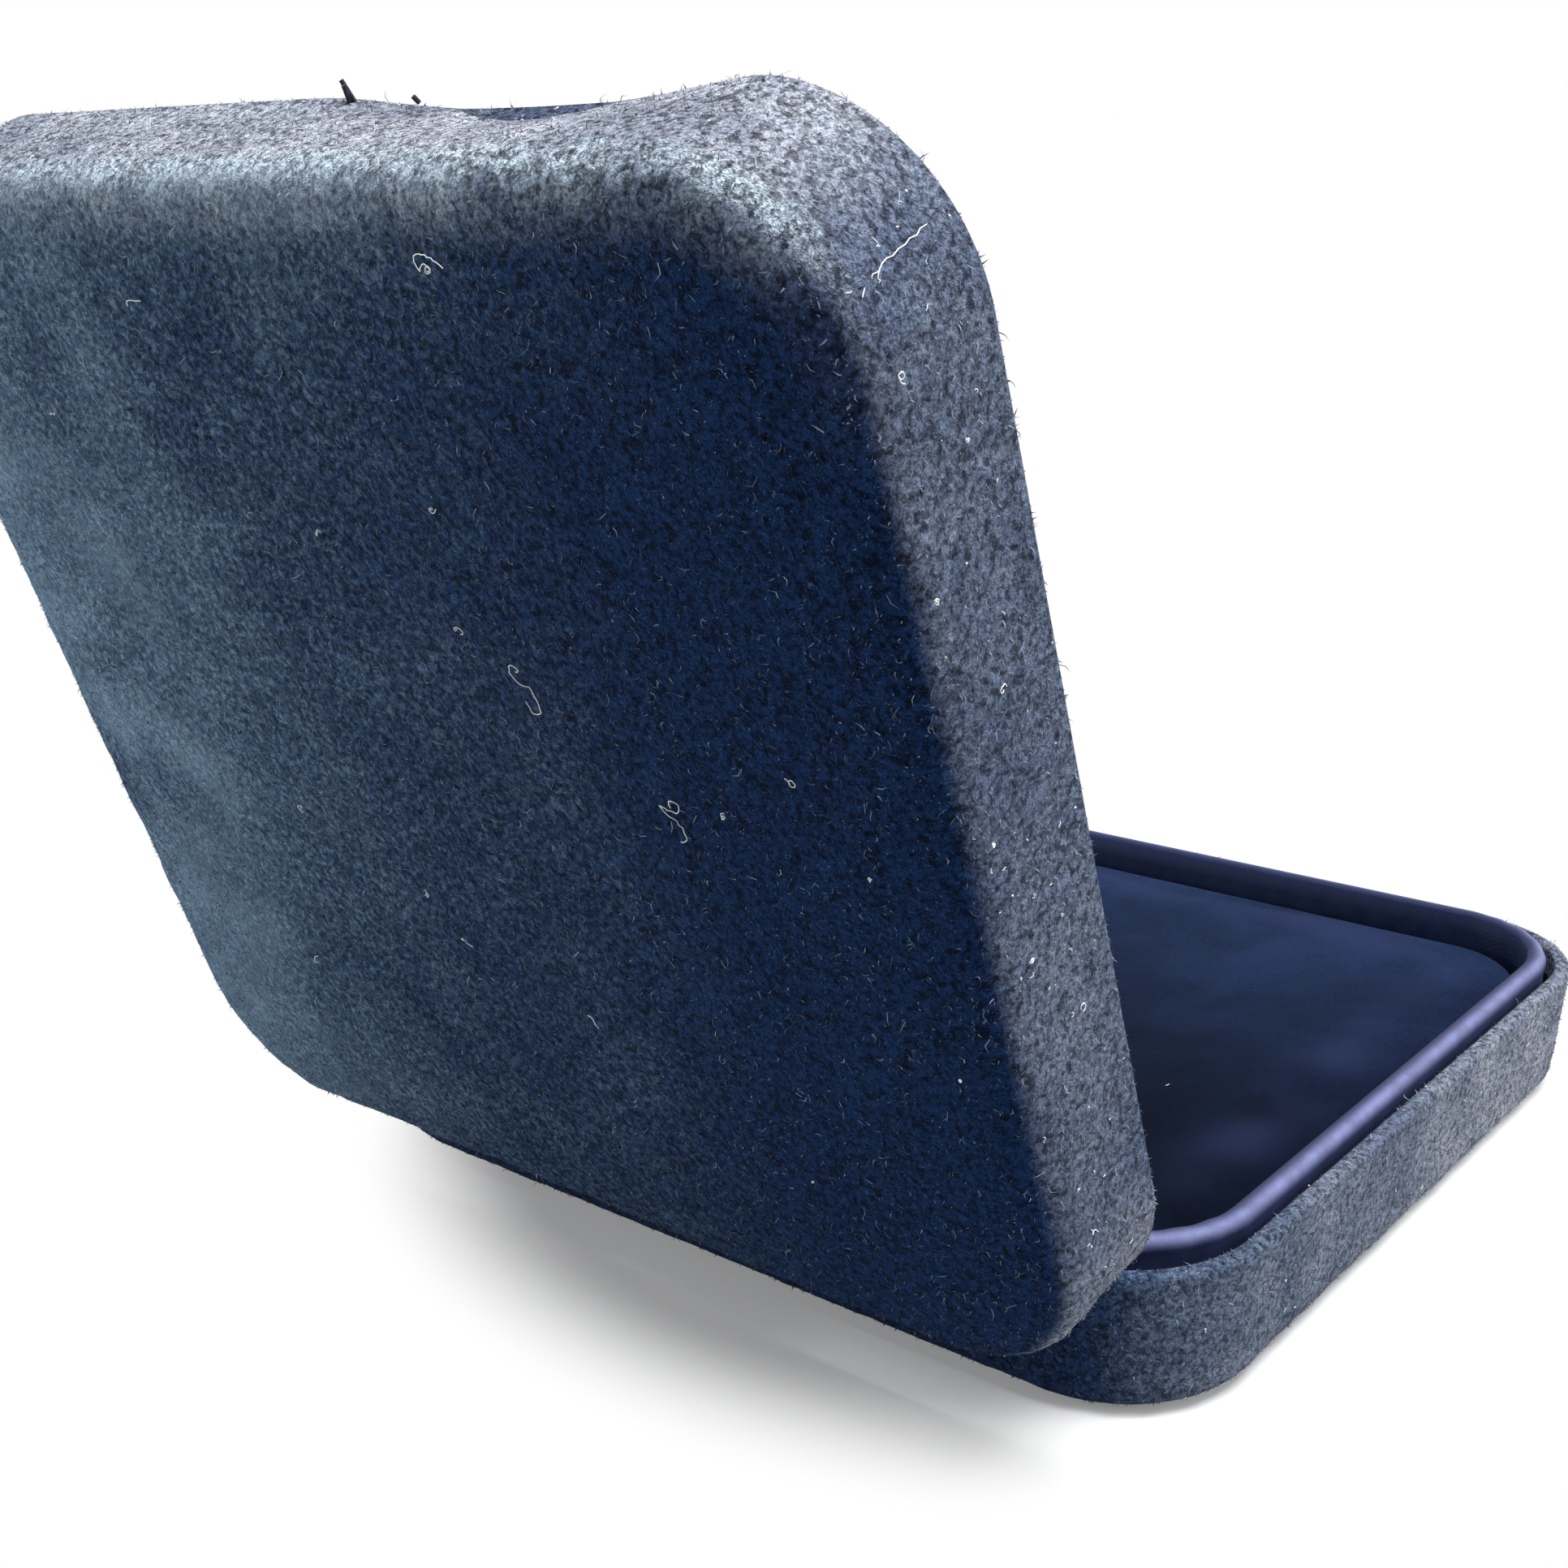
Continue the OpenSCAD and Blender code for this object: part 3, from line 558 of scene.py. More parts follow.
def grow_nap(name, on, count, nap, draw, keep_off):
    """Raised tufts and long, curled fibres that lean out of a surface, as flat blades."""
    at, up, carried = scatter(on, count + int(count * nap.long_share), draw, NAP_STATE)
    kept = ~keep_off(at)
    is_long = (np.arange(len(at)) >= count)[kept]
    at, up = at[kept], up[kept]
    carried = [values[kept] for values in carried]
    count = len(at)
    stroke = draw.normal(size=(count, 3)) + draw.choice((-1, 1), (count, 1)) * (0, 1.1, 0.4)
    side = unit(np.cross(unit(stroke), up))
    sway = unit(np.cross(up, side))
    lean = np.where(is_long, draw.uniform(62, 88, count), draw.uniform(25, 80, count))
    lean = np.radians(lean)[:, None]
    clump = 0.4 + 1.3 * smooth_step(wander(at, 0.8 * MM, nap.seed + 30), -0.3, 0.6)
    reach = draw.uniform(0.4, 1.0, count) * clump
    reach *= np.where(is_long, nap.fibre_length, 0.85 * nap.tuft_length)
    half = 0.5 * draw.uniform(0.5, 1.2, count)
    half *= np.where(is_long, nap.fibre_width, nap.tuft_width)
    shade = np.where(is_long, draw.uniform(0.3, 0.95, count), draw.uniform(0.0, 0.9, count))
    root = at - up * 0.04 * MM
    grow = (up * np.cos(lean) + sway * np.sin(lean)) * reach[:, None]
    across = side * half[:, None]
    curl_out = side * (reach * draw.uniform(-0.35, 0.35, count))[:, None]
    middle = root + 0.55 * grow + curl_out
    tip = root + grow
    short = np.stack([root - across, root + across, tip], axis=1)[~is_long]
    long = [root - across, root + across, middle + across, middle - across, tip]
    long = np.stack(long, axis=1)[is_long]
    verts = np.concatenate([short.reshape(-1, 3), long.reshape(-1, 3)])
    first = 3 * len(short) + 5 * np.arange(len(long))[:, None]
    faces = np.arange(3 * len(short)).reshape(-1, 3).tolist()
    faces += (first + [0, 1, 2, 3]).tolist() + (first + [3, 2, 4]).tolist()
    mesh = bpy.data.meshes.new(name)
    mesh.from_pydata(verts.tolist(), [], faces)
    piece = link(name, mesh)
    for state, values in zip(NAP_STATE + ("shade",), carried + [shade]):
        spread_out = [np.repeat(values[~is_long], 3), np.repeat(values[is_long], 5)]
        set_attribute(piece, state, np.concatenate(spread_out))
    return piece


def curl(draw, place, across, along, up, reach, steps):
    """Points of one curled strand that lies near a surface; short ones curl the most."""
    wild = min(1.0, 2.2 * MM / reach)
    heading = draw.uniform(0, 2 * math.pi)
    bend = draw.uniform(-1.8, 1.8) * wild
    at = np.array(place, dtype=float)
    trail = []
    for step in range(steps):
        part = step / (steps - 1)
        lift = 0.12 * MM + 0.08 * reach * math.sin(math.pi * part) * draw.uniform(0.4, 1)
        trail.append(at + up * lift)
        bend += draw.normal(0, 1.3) * wild
        heading += bend * 3.4 / steps
        at = at + (across * math.cos(heading) + along * math.sin(heading)) * reach / steps
    return trail


def strands_to_mesh(name, strands, radius, roundness):
    """Thin tubes along the strands, as one mesh."""
    curve = bpy.data.curves.new(name, "CURVE")
    curve.dimensions = "3D"
    curve.bevel_depth = radius
    curve.bevel_resolution = roundness
    curve.use_fill_caps = True
    for trail in strands:
        spline = curve.splines.new("POLY")
        spline.points.add(len(trail) - 1)
        for point, place in zip(spline.points, trail):
            point.co = (*place, 1)
    activate(link(name, curve))
    bpy.ops.object.convert(target="MESH")
    return bpy.context.object


# ---- Materials ----


WHITE = (1, 1, 1)
# Weight, roughness and tint of the sheen on the suede's nap
NAP_SHEEN = (0.03, 0.5, (0.4, 0.65, 1))


class Nodes:
    """The nodes of a material or a world. A value is a number, a colour or an output."""

    def __init__(self, owner):
        owner.use_nodes = True
        self.owner, self.tree = owner, owner.node_tree

    def put(self, value, socket):
        """Links an output to a socket, or writes the value there."""
        if isinstance(value, bpy.types.NodeSocket):
            self.tree.links.new(value, socket)
        elif socket.type == "RGBA":
            socket.default_value = (*value, 1)
        else:
            socket.default_value = value

    def add(self, kind, sockets=(), **fields):
        """Adds a node with its settings. sockets maps its inputs to values."""
        node = self.tree.nodes.new("ShaderNode" + kind)
        for name, value in fields.items():
            setattr(node, name, value)
        for key, value in dict(sockets).items():
            self.put(value, node.inputs[key])
        return node

    def calculate(self, how, *values):
        """One Math node."""
        return self.add("Math", enumerate(values), operation=how).outputs[0]

    def split_rays(self, unseen, seen, output):
        """Shows one shader to camera, glossy and transmission rays, another to the rest."""
        path = self.add("LightPath").outputs
        bent = self.calculate("MAXIMUM", path["Is Glossy Ray"], path["Is Transmission Ray"])
        rays = self.calculate("MAXIMUM", path["Is Camera Ray"], bent)
        mix = self.add("MixShader", {0: rays, 1: unseen.outputs[0], 2: seen.outputs[0]})
        self.put(mix.outputs[0], self.tree.nodes[output].inputs["Surface"])


class Finish(Nodes):
    """A material whose looks follow the piece's own coordinates, in metres."""

    def __init__(self, name):
        super().__init__(bpy.data.materials.new(name))
        self.shader = self.tree.nodes["Principled BSDF"]
        self.place = self.add("TexCoord").outputs["Object"]

    def grain(self, size, detail=2.0, roughness=0.5, distortion=0.0, place=None):
        """Noise whose features have the given size in metres."""
        place = self.place if place is None else place
        names = ("Vector", "Scale", "Detail", "Roughness", "Distortion")
        sockets = zip(names, (place, 1 / size, detail, roughness, distortion))
        return self.add("TexNoise", sockets).outputs["Fac"]

    def stored(self, name):
        """What set_attribute stored at each vertex."""
        return self.add("Attribute", attribute_name=name).outputs["Fac"]

    def spread(self, value, low, high, to_low=0.0, to_high=1.0):
        """Maps low..high of a value to to_low..to_high, smoothly and clamped."""
        names = ("Value", "From Min", "From Max", "To Min", "To Max")
        sockets = zip(names, (value, low, high, to_low, to_high))
        return self.add("MapRange", sockets, interpolation_type="SMOOTHSTEP").outputs["Result"]

    def times(self, first, second):
        """The product of two values."""
        return self.calculate("MULTIPLY", first, second)

    def blend(self, factor, first, second, how="MIX"):
        """Mixes two colours."""
        kind = {"data_type": "RGBA", "blend_type": how, "clamp_factor": True}
        return self.add("Mix", {0: factor, 6: first, 7: second}, **kind).outputs[2]

    def grey(self, value):
        """A grey colour of the given value."""
        return self.add("CombineColor", dict.fromkeys(("Red", "Green", "Blue"), value)).outputs[0]

    def darken(self, tone, value, factor=1.0):
        """Multiplies a colour by a value."""
        return self.blend(factor, tone, self.grey(value), "MULTIPLY")

    def finish(self, tone, rough, relief=(), specular=0.5, sheen=(), metallic=0.0):
        """Sets the shader, with relief as height, depth and strength, and returns the material.

        sheen is weight, roughness and tint.
        """
        sockets = {"Base Color": tone, "Roughness": rough, "Metallic": metallic}
        sockets["Specular IOR Level"] = specular
        sockets.update(zip(("Sheen Weight", "Sheen Roughness", "Sheen Tint"), sheen))
        if relief:
            bump = self.add("Bump", zip(("Height", "Distance", "Strength"), relief))
            sockets["Normal"] = bump.outputs["Normal"]
        for key, value in sockets.items():
            self.put(value, self.shader.inputs[key])
        return self.owner


def suede_tone(nodes, colours):
    """Colour: dyed navy; slate where the nap lies flat, which across the lid's face is painted
    light; pale where it is rubbed, and as painted light on the walls that face the lamps; a
    painted highlight along the crest; painted shade in the nap's hollows.
    """
    cloud = nodes.spread(nodes.grain(8 * MM, 3.0, 0.6), 0.3, 0.7, 0.75, 1.2)
    wear_and_painted_light, flat_nap_and_painted_light, painted_highlight = (nodes.stored(name) for name in NAP_STATE)
    tuft = nodes.spread(nodes.grain(0.6 * MM, 3.0, 0.6, 0.6), 0.4, 0.68)
    stands = nodes.calculate("SUBTRACT", 1.0, flat_nap_and_painted_light)
    tufted = nodes.calculate("MULTIPLY_ADD", tuft, 2.0, -0.75)
    broken = nodes.calculate("MULTIPLY_ADD", stands, tufted, 1.0)
    flat = nodes.times(nodes.times(flat_nap_and_painted_light, cloud), broken)
    # Slate by the flat-nap mask, which across the lid's face is painted light
    tone = nodes.blend(flat, colours.suede_navy, colours.suede_slate)
    # Pale where rubbed, and pale as painted light on the walls that face the lamps
    tone = nodes.blend(nodes.times(wear_and_painted_light, cloud), tone, colours.suede_worn_and_painted_light)
    # Painted highlight along the crest, broken into patches
    patchy = nodes.spread(nodes.grain(2.6 * MM, 3.0, 0.65), 0.35, 0.65, 0.5, 1.2)
    tone = nodes.blend(nodes.times(painted_highlight, patchy), tone, colours.suede_painted_highlight)
    # Painted shade: darker in the nap's hollows, less so where the nap lies flat
    hollow = nodes.spread(nodes.grain(0.62 * MM, 2.0, 0.5, 0.5), 0.36, 0.5, 0.4, 1.13)
    open_nap = nodes.calculate("MULTIPLY_ADD", flat_nap_and_painted_light, -0.9, 1.0)
    return nodes.darken(tone, hollow, open_nap), flat_nap_and_painted_light


def suede(colours):
    """Dyed split-hide suede, buffed: a matt, pitted nap that rubs pale at its edges, with painted
    shade in its pits and a painted highlight on its raised strands.
    """
    nodes = Finish("split_hide_suede_buffed")
    tone, flat_nap_and_painted_light = suede_tone(nodes, colours)
    pit = nodes.grain(0.5 * MM, 4.0, 0.65, 0.4)
    strand = nodes.grain(0.17 * MM, 2.0, 0.6)
    # Painted shade and highlight: darker in the pits, lighter on the strands, from the noise that
    # also drives the bump
    pitted = nodes.spread(pit, 0.32, 0.62, 0.34, 1.3)
    light = nodes.grey(nodes.times(pitted, nodes.spread(strand, 0.3, 0.7, 0.6, 1.35)))
    light = nodes.blend(nodes.times(flat_nap_and_painted_light, 0.65), light, WHITE)
    tone = nodes.blend(1.0, tone, light, "MULTIPLY")
    height = nodes.calculate("MULTIPLY_ADD", strand, 0.4, pit)
    return nodes.finish(tone, 0.95, (height, 0.5 * MM, 0.9), 0.05, NAP_SHEEN)


def fibre(colours):
    """Loose suede fibres: each tuft is darker or paler at random, and the brightest take the
    highlight colour as painted glints.
    """
    nodes = Finish("suede_fibre_raised")
    tone, _ = suede_tone(nodes, colours)
    shade = nodes.stored("shade")
    tone = nodes.darken(tone, nodes.calculate("MULTIPLY_ADD", shade, 0.9, 0.45))
    # Painted glints: the brightest tufts are mixed towards the painted highlight colour
    bright = nodes.times(nodes.calculate("POWER", shade, 4.0), 0.75)
    tone = nodes.blend(bright, tone, colours.suede_painted_highlight)
    return nodes.finish(tone, 0.9, specular=0.05, sheen=NAP_SHEEN)


def satin(colours):
    """Warp-faced satin: smooth floats give a soft sheen, with a painted highlight along the outer
    shoulder of an edge's roll and painted shade, in the velvet's colour, on the inner face.
    """
    nodes = Finish("acetate_satin_woven")
    weave = {"Vector": nodes.place, "Scale": 1 / (0.9 * MM), "Distortion": 0.6, "Detail": 1.0}
    bands = {"wave_type": "BANDS", "bands_direction": "DIAGONAL"}
    thread = nodes.add("TexWave", weave, **bands).outputs["Fac"]
    slub = nodes.grain(2.4 * MM, 3.0, 0.6)
    # Painted highlight along the outer shoulder of the roll
    shoulder_painted_highlight = nodes.times(nodes.stored("shoulder_painted_highlight"), 0.45)
    tone = nodes.blend(shoulder_painted_highlight, colours.satin, colours.satin_highlight)
    # Painted shade: the inner face is mixed towards the velvet's colour
    tone = nodes.blend(nodes.times(nodes.stored("inner_painted_shade"), 0.8), tone, colours.velvet)
    tone = nodes.darken(tone, nodes.spread(slub, 0.3, 0.7, 0.8, 1.15))
    rough = nodes.spread(slub, 0.3, 0.7, 0.52, 0.66)
    nodes.put(colours.satin_highlight, nodes.shader.inputs["Specular Tint"])
    sheen = (0.08, 0.3, colours.satin_highlight)
    return nodes.finish(tone, rough, (thread, 0.02 * MM, 0.4), 0.4, sheen)


def velvet(colours):
    """Cut-pile cotton velvet: near black face on, with painted light, lighter towards the front
    and darker towards the hinge, and a painted sheen in a band near its edges.
    """
    nodes = Finish("cotton_velvet_cut_pile")
    stroked = nodes.spread(nodes.grain(14 * MM, 3.0, 0.55, 0.8), 0.3, 0.7, 0.8, 1.3)
    pile = nodes.grain(0.45 * MM, 2.0, 0.6)
    light = nodes.times(stroked, nodes.spread(pile, 0.3, 0.7, 0.85, 1.15))
    along = nodes.add("SeparateXYZ", {0: nodes.place}).outputs["Y"]
    # Painted light: lighter towards the front, at -Y, and darker towards the hinge, at +Y
    light = nodes.times(light, nodes.spread(along, -40 * MM, 25 * MM, 1.55, 0.3))
    tone = nodes.darken(colours.velvet, light)
    # Painted sheen in the band stored as turned
    tone = nodes.blend(nodes.times(nodes.stored("turned"), 0.35), tone, colours.velvet_painted_sheen)
    sheen = (0.045, 0.4, (0.5, 0.7, 1))
    return nodes.finish(tone, 1.0, (pile, 0.1 * MM, 0.4), 0.04, sheen)


def card(colours):
    """Pressed greyboard: matt, fibrous, with darker flecks."""
    nodes = Finish("greyboard_pressed")
    fleck = nodes.grain(0.5 * MM, 3.0, 0.7)
    tone = nodes.darken(colours.card, nodes.spread(fleck, 0.35, 0.6, 0.72, 1.1))
    tone = nodes.darken(tone, nodes.spread(nodes.grain(6 * MM), 0.3, 0.7, 0.9, 1.08))
    return nodes.finish(tone, 0.9, (fleck, 0.05 * MM, 0.5), 0.3)


def foam(colours):
    """Open-cell foam and cotton wadding: pale and matt, with small pores."""
    nodes = Finish("polyurethane_foam_cut")
    cells = {"Vector": nodes.place, "Scale": 1 / (0.7 * MM)}
    pores = nodes.add("TexVoronoi", cells).outputs["Distance"]
    # Painted shade: darker in the pores, which the bump also sinks
    tone = nodes.darken(colours.foam, nodes.spread(pores, 0.0, 0.5, 0.7, 1.0))
    return nodes.finish(tone, 0.95, (pores, 0.15 * MM, 0.6), 0.2)


def lacquer(colours):
    """Stoving lacquer on pressed steel: dark and half matt, with a slight orange peel."""
    nodes = Finish("stoving_lacquer_sprayed")
    peel, cloud = nodes.grain(0.9 * MM), nodes.grain(8 * MM)
    tone = nodes.darken(colours.lacquer, nodes.spread(cloud, 0.3, 0.7, 0.88, 1.1))
    return nodes.finish(tone, nodes.spread(cloud, 0.3, 0.7, 0.38, 0.5), (peel, 0.02 * MM, 0.3))


def brushed_steel(name, tint, rough_low, rough_high):
    """Plated or blued steel, brushed along the hinge: fine lines that spread highlights."""
    nodes = Finish(name)
    drawn_out = {"Vector": nodes.place, "Scale": (0.06, 1, 1)}
    along = nodes.add("Mapping", drawn_out).outputs[0]
    lines = nodes.grain(0.12 * MM, 3.0, 0.6, place=along)
    tone = nodes.darken(tint, nodes.spread(nodes.grain(3 * MM), 0.3, 0.7, 0.9, 1.05))
    rough = nodes.spread(lines, 0.3, 0.7, rough_low, rough_high)
    return nodes.finish(tone, rough, (lines, 0.01 * MM, 0.25), metallic=1.0)


def lint(colours):
    """Undyed cotton lint: pale, thin and matt, greyed here and there by dust."""
    nodes = Finish("cotton_lint_loose")
    dust = nodes.spread(nodes.grain(1.1 * MM), 0.35, 0.65)
    tone = nodes.blend(dust, colours.lint, colours.lint_grey)
    return nodes.finish(tone, 0.8, specular=0.3, sheen=(0.6, 0.4, WHITE))


def thread(colours):
    """Dyed cotton sewing thread: dark and matt, with the twist of its plies."""
    nodes = Finish("cotton_thread_dyed")
    twist = nodes.grain(0.3 * MM)
    # Painted shade and highlight: darker in the twist's grooves and lighter on its crests, from
    # the noise that also drives the bump
    tone = nodes.darken(colours.thread, nodes.spread(twist, 0.3, 0.7, 0.7, 1.5))
    return nodes.finish(tone, 0.85, (twist, 0.05 * MM, 0.6), 0.2)


def paper(colours):
    """Matt white paper. Camera, glossy and transmission rays see it mixed with a painted glow, an
    emission and no lamp, that fades the object's shadow to white away from the object and lifts
    it a little near it.
    """
    nodes = Finish("paper_sweep_matt")
    tooth = nodes.grain(2 * MM)
    tone = nodes.darken(colours.floor, nodes.spread(tooth, 0.3, 0.7, 0.985, 1.0))
    nodes.finish(tone, 0.9, (tooth, 0.01 * MM, 0.2), 0.1)
    oval = {0: nodes.place, 1: (0.9, 1, 1), 2: (0.007, 0, 0)}
    wide = nodes.add("VectorMath", oval, operation="MULTIPLY_ADD").outputs[0]
    away = nodes.add("VectorMath", {0: wide}, operation="LENGTH").outputs["Value"]
    # Painted glow: a white emission that stands in for light on the floor
    glow = nodes.add("Emission", {"Color": WHITE, "Strength": 1.0}).outputs[0]
    fade = nodes.spread(away, 53 * MM, 70 * MM, 0.17)
    lit = nodes.add("MixShader", {0: fade, 1: nodes.shader.outputs[0], 2: glow})
    dim = nodes.add("BsdfDiffuse", {"Color": (0.45, 0.45, 0.45)})
    nodes.split_rays(dim, lit, "Material Output")
    return nodes.owner


FINISHES = {
    "suede": suede,
    "fibre": fibre,
    "satin": satin,
    "velvet": velvet,
    "card": card,
    "foam": foam,
    "lacquer": lacquer,
    "nickel": lambda colours: brushed_steel("steel_nickel_plated", colours.nickel, 0.24, 0.42),
    "blued": lambda colours: brushed_steel("spring_steel_blued", colours.blued, 0.2, 0.38),
    "lint": lint,
    "thread": thread,
    "paper": paper,
}
MATERIALS = {}


def cover(piece, finish):
    """Gives a piece one of the finishes, whose material is made on first use."""
    if finish not in MATERIALS:
        MATERIALS[finish] = FINISHES[finish](bpy.context.scene.case_colours)
    piece.data.materials.clear()
    piece.data.materials.append(MATERIALS[finish])


# ---- Pieces ----


class CasePiece:
    """What the case's operators share."""

    bl_options = {"REGISTER", "UNDO"}


def facing_parts(piece):
    """How far each vertex faces front, a side and out of the crown, each 0 to 1."""
    facing = normals(piece)
    level = np.maximum(np.hypot(facing[:, 0], facing[:, 1]), 1e-6)
    front = smooth_step(-facing[:, 1] / level, 0.25, 0.85)
    side = smooth_step(np.abs(facing[:, 0]) / level, 0.3, 0.8)
    return front, side, smooth_step(facing[:, 2], 0.3, 0.8)


def in_hinge(size, hinge, places):
    """True where a place lies in the hinge's cut-outs, with the rim at height 0."""
    rear, clear = size.depth / 2, 0.2 * MM
    x, y, z = places.T
    groove = np.hypot(y - rear, z + size.rim_gap / 2) < hinge.groove_radius + clear
    slot = (z < hinge.slot_depth + clear) & (rear - y < 2 * size.wall)
    behind = (rear - y > 0.5 * size.wall) & (rear - y < size.wall + hinge.leaf_height)
    near = (np.abs(x) < hinge.groove_half) & (z < 2 * size.turn_in)
    return near & (groove | slot | behind)


def cut_hinge(wrap, size, hinge, spring):
    """Cuts the hinge's groove and slots out of a wrap, with the rim at height 0."""
    rear = size.depth / 2
    over = 0.5 * MM
    through = (rear - size.wall - over, rear + over)
    # Behind the outer suede, so that only the turned-in suede is cut
    behind = (rear - size.wall - hinge.leaf_height, rear - 1.05 * MM)
    slots = [
        (hinge.slot_half, *through, hinge.slot_depth),
        (hinge.slot_half, *behind, size.turn_in + over),
    ]
    if spring:
        slots.append((hinge.spring_half, *through, hinge.spring_depth))
    cutters = []
    for half, near, far, depth in slots:
        middle = (0, (near + far) / 2, (depth - over) / 2)
        clear_selection()
        bpy.ops.mesh.primitive_cube_add(size=1, location=middle)
        cutters.append(bpy.context.object)
        cutters[-1].scale = (2 * half, far - near, depth + over)
    clear_selection()
    bpy.ops.mesh.primitive_cylinder_add(
        vertices=48,
        radius=hinge.groove_radius,
        depth=2 * hinge.groove_half,
        location=(0, rear, -size.rim_gap / 2),
        rotation=(0, math.pi / 2, 0),
    )
    cutters.append(bpy.context.object)
    for cutter in cutters:
        activate(cutter)
        bpy.ops.object.transform_apply(location=True, rotation=True, scale=True)
        apply_modifier(wrap, "BOOLEAN", operation="DIFFERENCE", solver="EXACT", object=cutter)
        bpy.data.objects.remove(cutter)


class CASE_OT_lid_wrap(CasePiece, bpy.types.Operator):
    """Suede over the lid: rolled rim, leaning walls, padded crown and finger dip"""

    bl_idname = "case.lid_wrap"
    bl_label = "Lid suede"

    def execute(self, context):
        size, hinge, nap = settings(context, "sizes", "hinge", "nap")
        centre, meet, lean = edge_arc(size)
        slope = size.lid_lean / size.lid_height
        start = RIM_ROUND * size.suede
        wall_top = (
            centre[0] - size.lid_edge * math.cos(math.radians(lean)),
            centre[1] + size.lid_edge * math.sin(math.radians(lean)),
        )
        wall = [(0, start)] + straight((start * slope, start), wall_top, 10)
        bend = arc(centre, size.lid_edge, 180 - lean, meet, 8)[1:]
        crown_z = size.lid_height - size.crown
        crown = [
            (inset, crown_z + math.sqrt(size.crown**2 - (size.corner - inset) ** 2))
            for inset in np.linspace(bend[-1][0], CROWN_GRID, 10)[1:]
        ]
        plan = (size.width, size.depth, size.corner)
        wrap = skin("lid_suede", plan, start, wall + bend + crown, rim_roll(size, slope), True)
        self.round_crown(wrap, plan, size.crown, crown_z)
        facing = facing_parts(wrap)
        outside = step_mm(points(wrap)[:, 2], 1, 3)
        fine = 0.06 + 0.1 * (1 - facing[2])
        bumps = ((17, 1, 0.14), (5.5, 2, 0.07), (2.2, 3, 0.08), (1.3, 16, fine))
        places = roughen(wrap, nap.seed, outside, 0.1, bumps)
        dip = push_dip(size, places)
        set_points(wrap, places)
        self.rub(wrap, plan, nap.seed, places, facing, dip)
        draw = np.random.default_rng(nap.seed)
        fibres = grow_nap(
            "lid_nap", wrap, nap.lid_tufts, nap, draw, lambda at: in_hinge(size, hinge, at)
        )
        apply_modifier(wrap, "SOLIDIFY", thickness=SUEDE_MESH, offset=-1)
        cut_hinge(wrap, size, hinge, False)
        swing_open(wrap, size)
        swing_open(fibres, size)
        finish_piece(wrap, "lid", "suede", "suede", "lid_cover")
        finish_piece(fibres, "lid", "fibre", "suede", angle=None)
        return {"FINISHED"}

    def round_crown(self, wrap, plan, radius, crown_z):
        """Lays the middle of the lid's face on the crown."""
        places = points(wrap)
        inset = inset_of(places, *plan)
        on_face = inset > CROWN_GRID - 0.1 * MM
        rest = plan[2] - np.minimum(inset[on_face], plan[2])
        places[on_face, 2] = crown_z + np.sqrt(radius**2 - rest**2)
        set_points(wrap, places)

    def rub(self, wrap, plan, seed, places, facing, dip):
        """Pale rubbed suede, partly painted light, on the walls, the front crest and the dip; a
        painted highlight along the crest; and nap that lies flat, partly painted light across the
        face.
        """
        front, side, crest = facing
        x, y = places[:, 0], places[:, 1]
        patch = 0.72 + 0.28 * smooth_step(wander(places, 7 * MM, seed + 4), -0.5, 0.5)
        near_front = step_mm(-y, 22, 46)
        wall = 1 - crest
        ridge = 4 * crest * (1 - crest)
        scuff = step_mm(dip, 0.05, 0.8) * ridge
        fade = step_mm(-inset_of(places, *plan), -6.5, -0.5) * step_mm(-y, 26, 42)
        rear = step_mm(y, 30, 43) * step_mm(np.abs(x), 34, 46)
        # Colour set by light: less pale at the -X front corner, where the lamps fall hardest on
        # the wall
        middle = 1.12 - 0.36 * step_mm(-x, 32, 46)
        # Pale walls, partly rubbed and partly painted light, most on the front wall, which faces
        # the overhead lamp when the lid is open
        wear_and_painted_light = wall * (0.2 + 0.55 * front**3 * middle + 0.5 * rear)
        wear_and_painted_light = wear_and_painted_light + 0.25 * ridge * near_front * front
        wear_and_painted_light = wear_and_painted_light + 0.35 * scuff + 0.08 * fade * crest + 0.06 * ridge * side
        ragged = 1 + 0.35 * wander(places, 3.5 * MM, seed + 15)
        # Painted highlight along the crest and near the front edge of the face
        tip = normals(wrap)[:, 2]
        band = smooth_step(tip, 0.0, 0.34) * (1 - smooth_step(tip, 0.42, 0.9))
        painted_highlight = (0.78 * band * front * near_front + 0.55 * fade * front**2 * crest) * ragged
        painted_highlight *= 1 - 0.2 * step_mm(np.abs(x), 15, 42)
        painted_highlight += 0.12 * ridge * side * near_front + 0.15 * scuff + 0.2 * ridge * rear
        # Painted light on the face: lighter towards +X and near its front edge
        flat_nap_and_painted_light = 0.2 * step_mm(x, -32, -4)
        flat_nap_and_painted_light += 0.74 * step_mm(x, -2, 46)
        flat_nap_and_painted_light = np.maximum(flat_nap_and_painted_light, 0.55 * step_mm(-y, 24, 45) * step_mm(x, -42, 4))
        cloud = 0.75 + 0.4 * wander(places, 11 * MM, seed + 5)
        set_nap(wrap, wear_and_painted_light * patch, flat_nap_and_painted_light * cloud * crest + 0.12 * wall * side, painted_highlight)


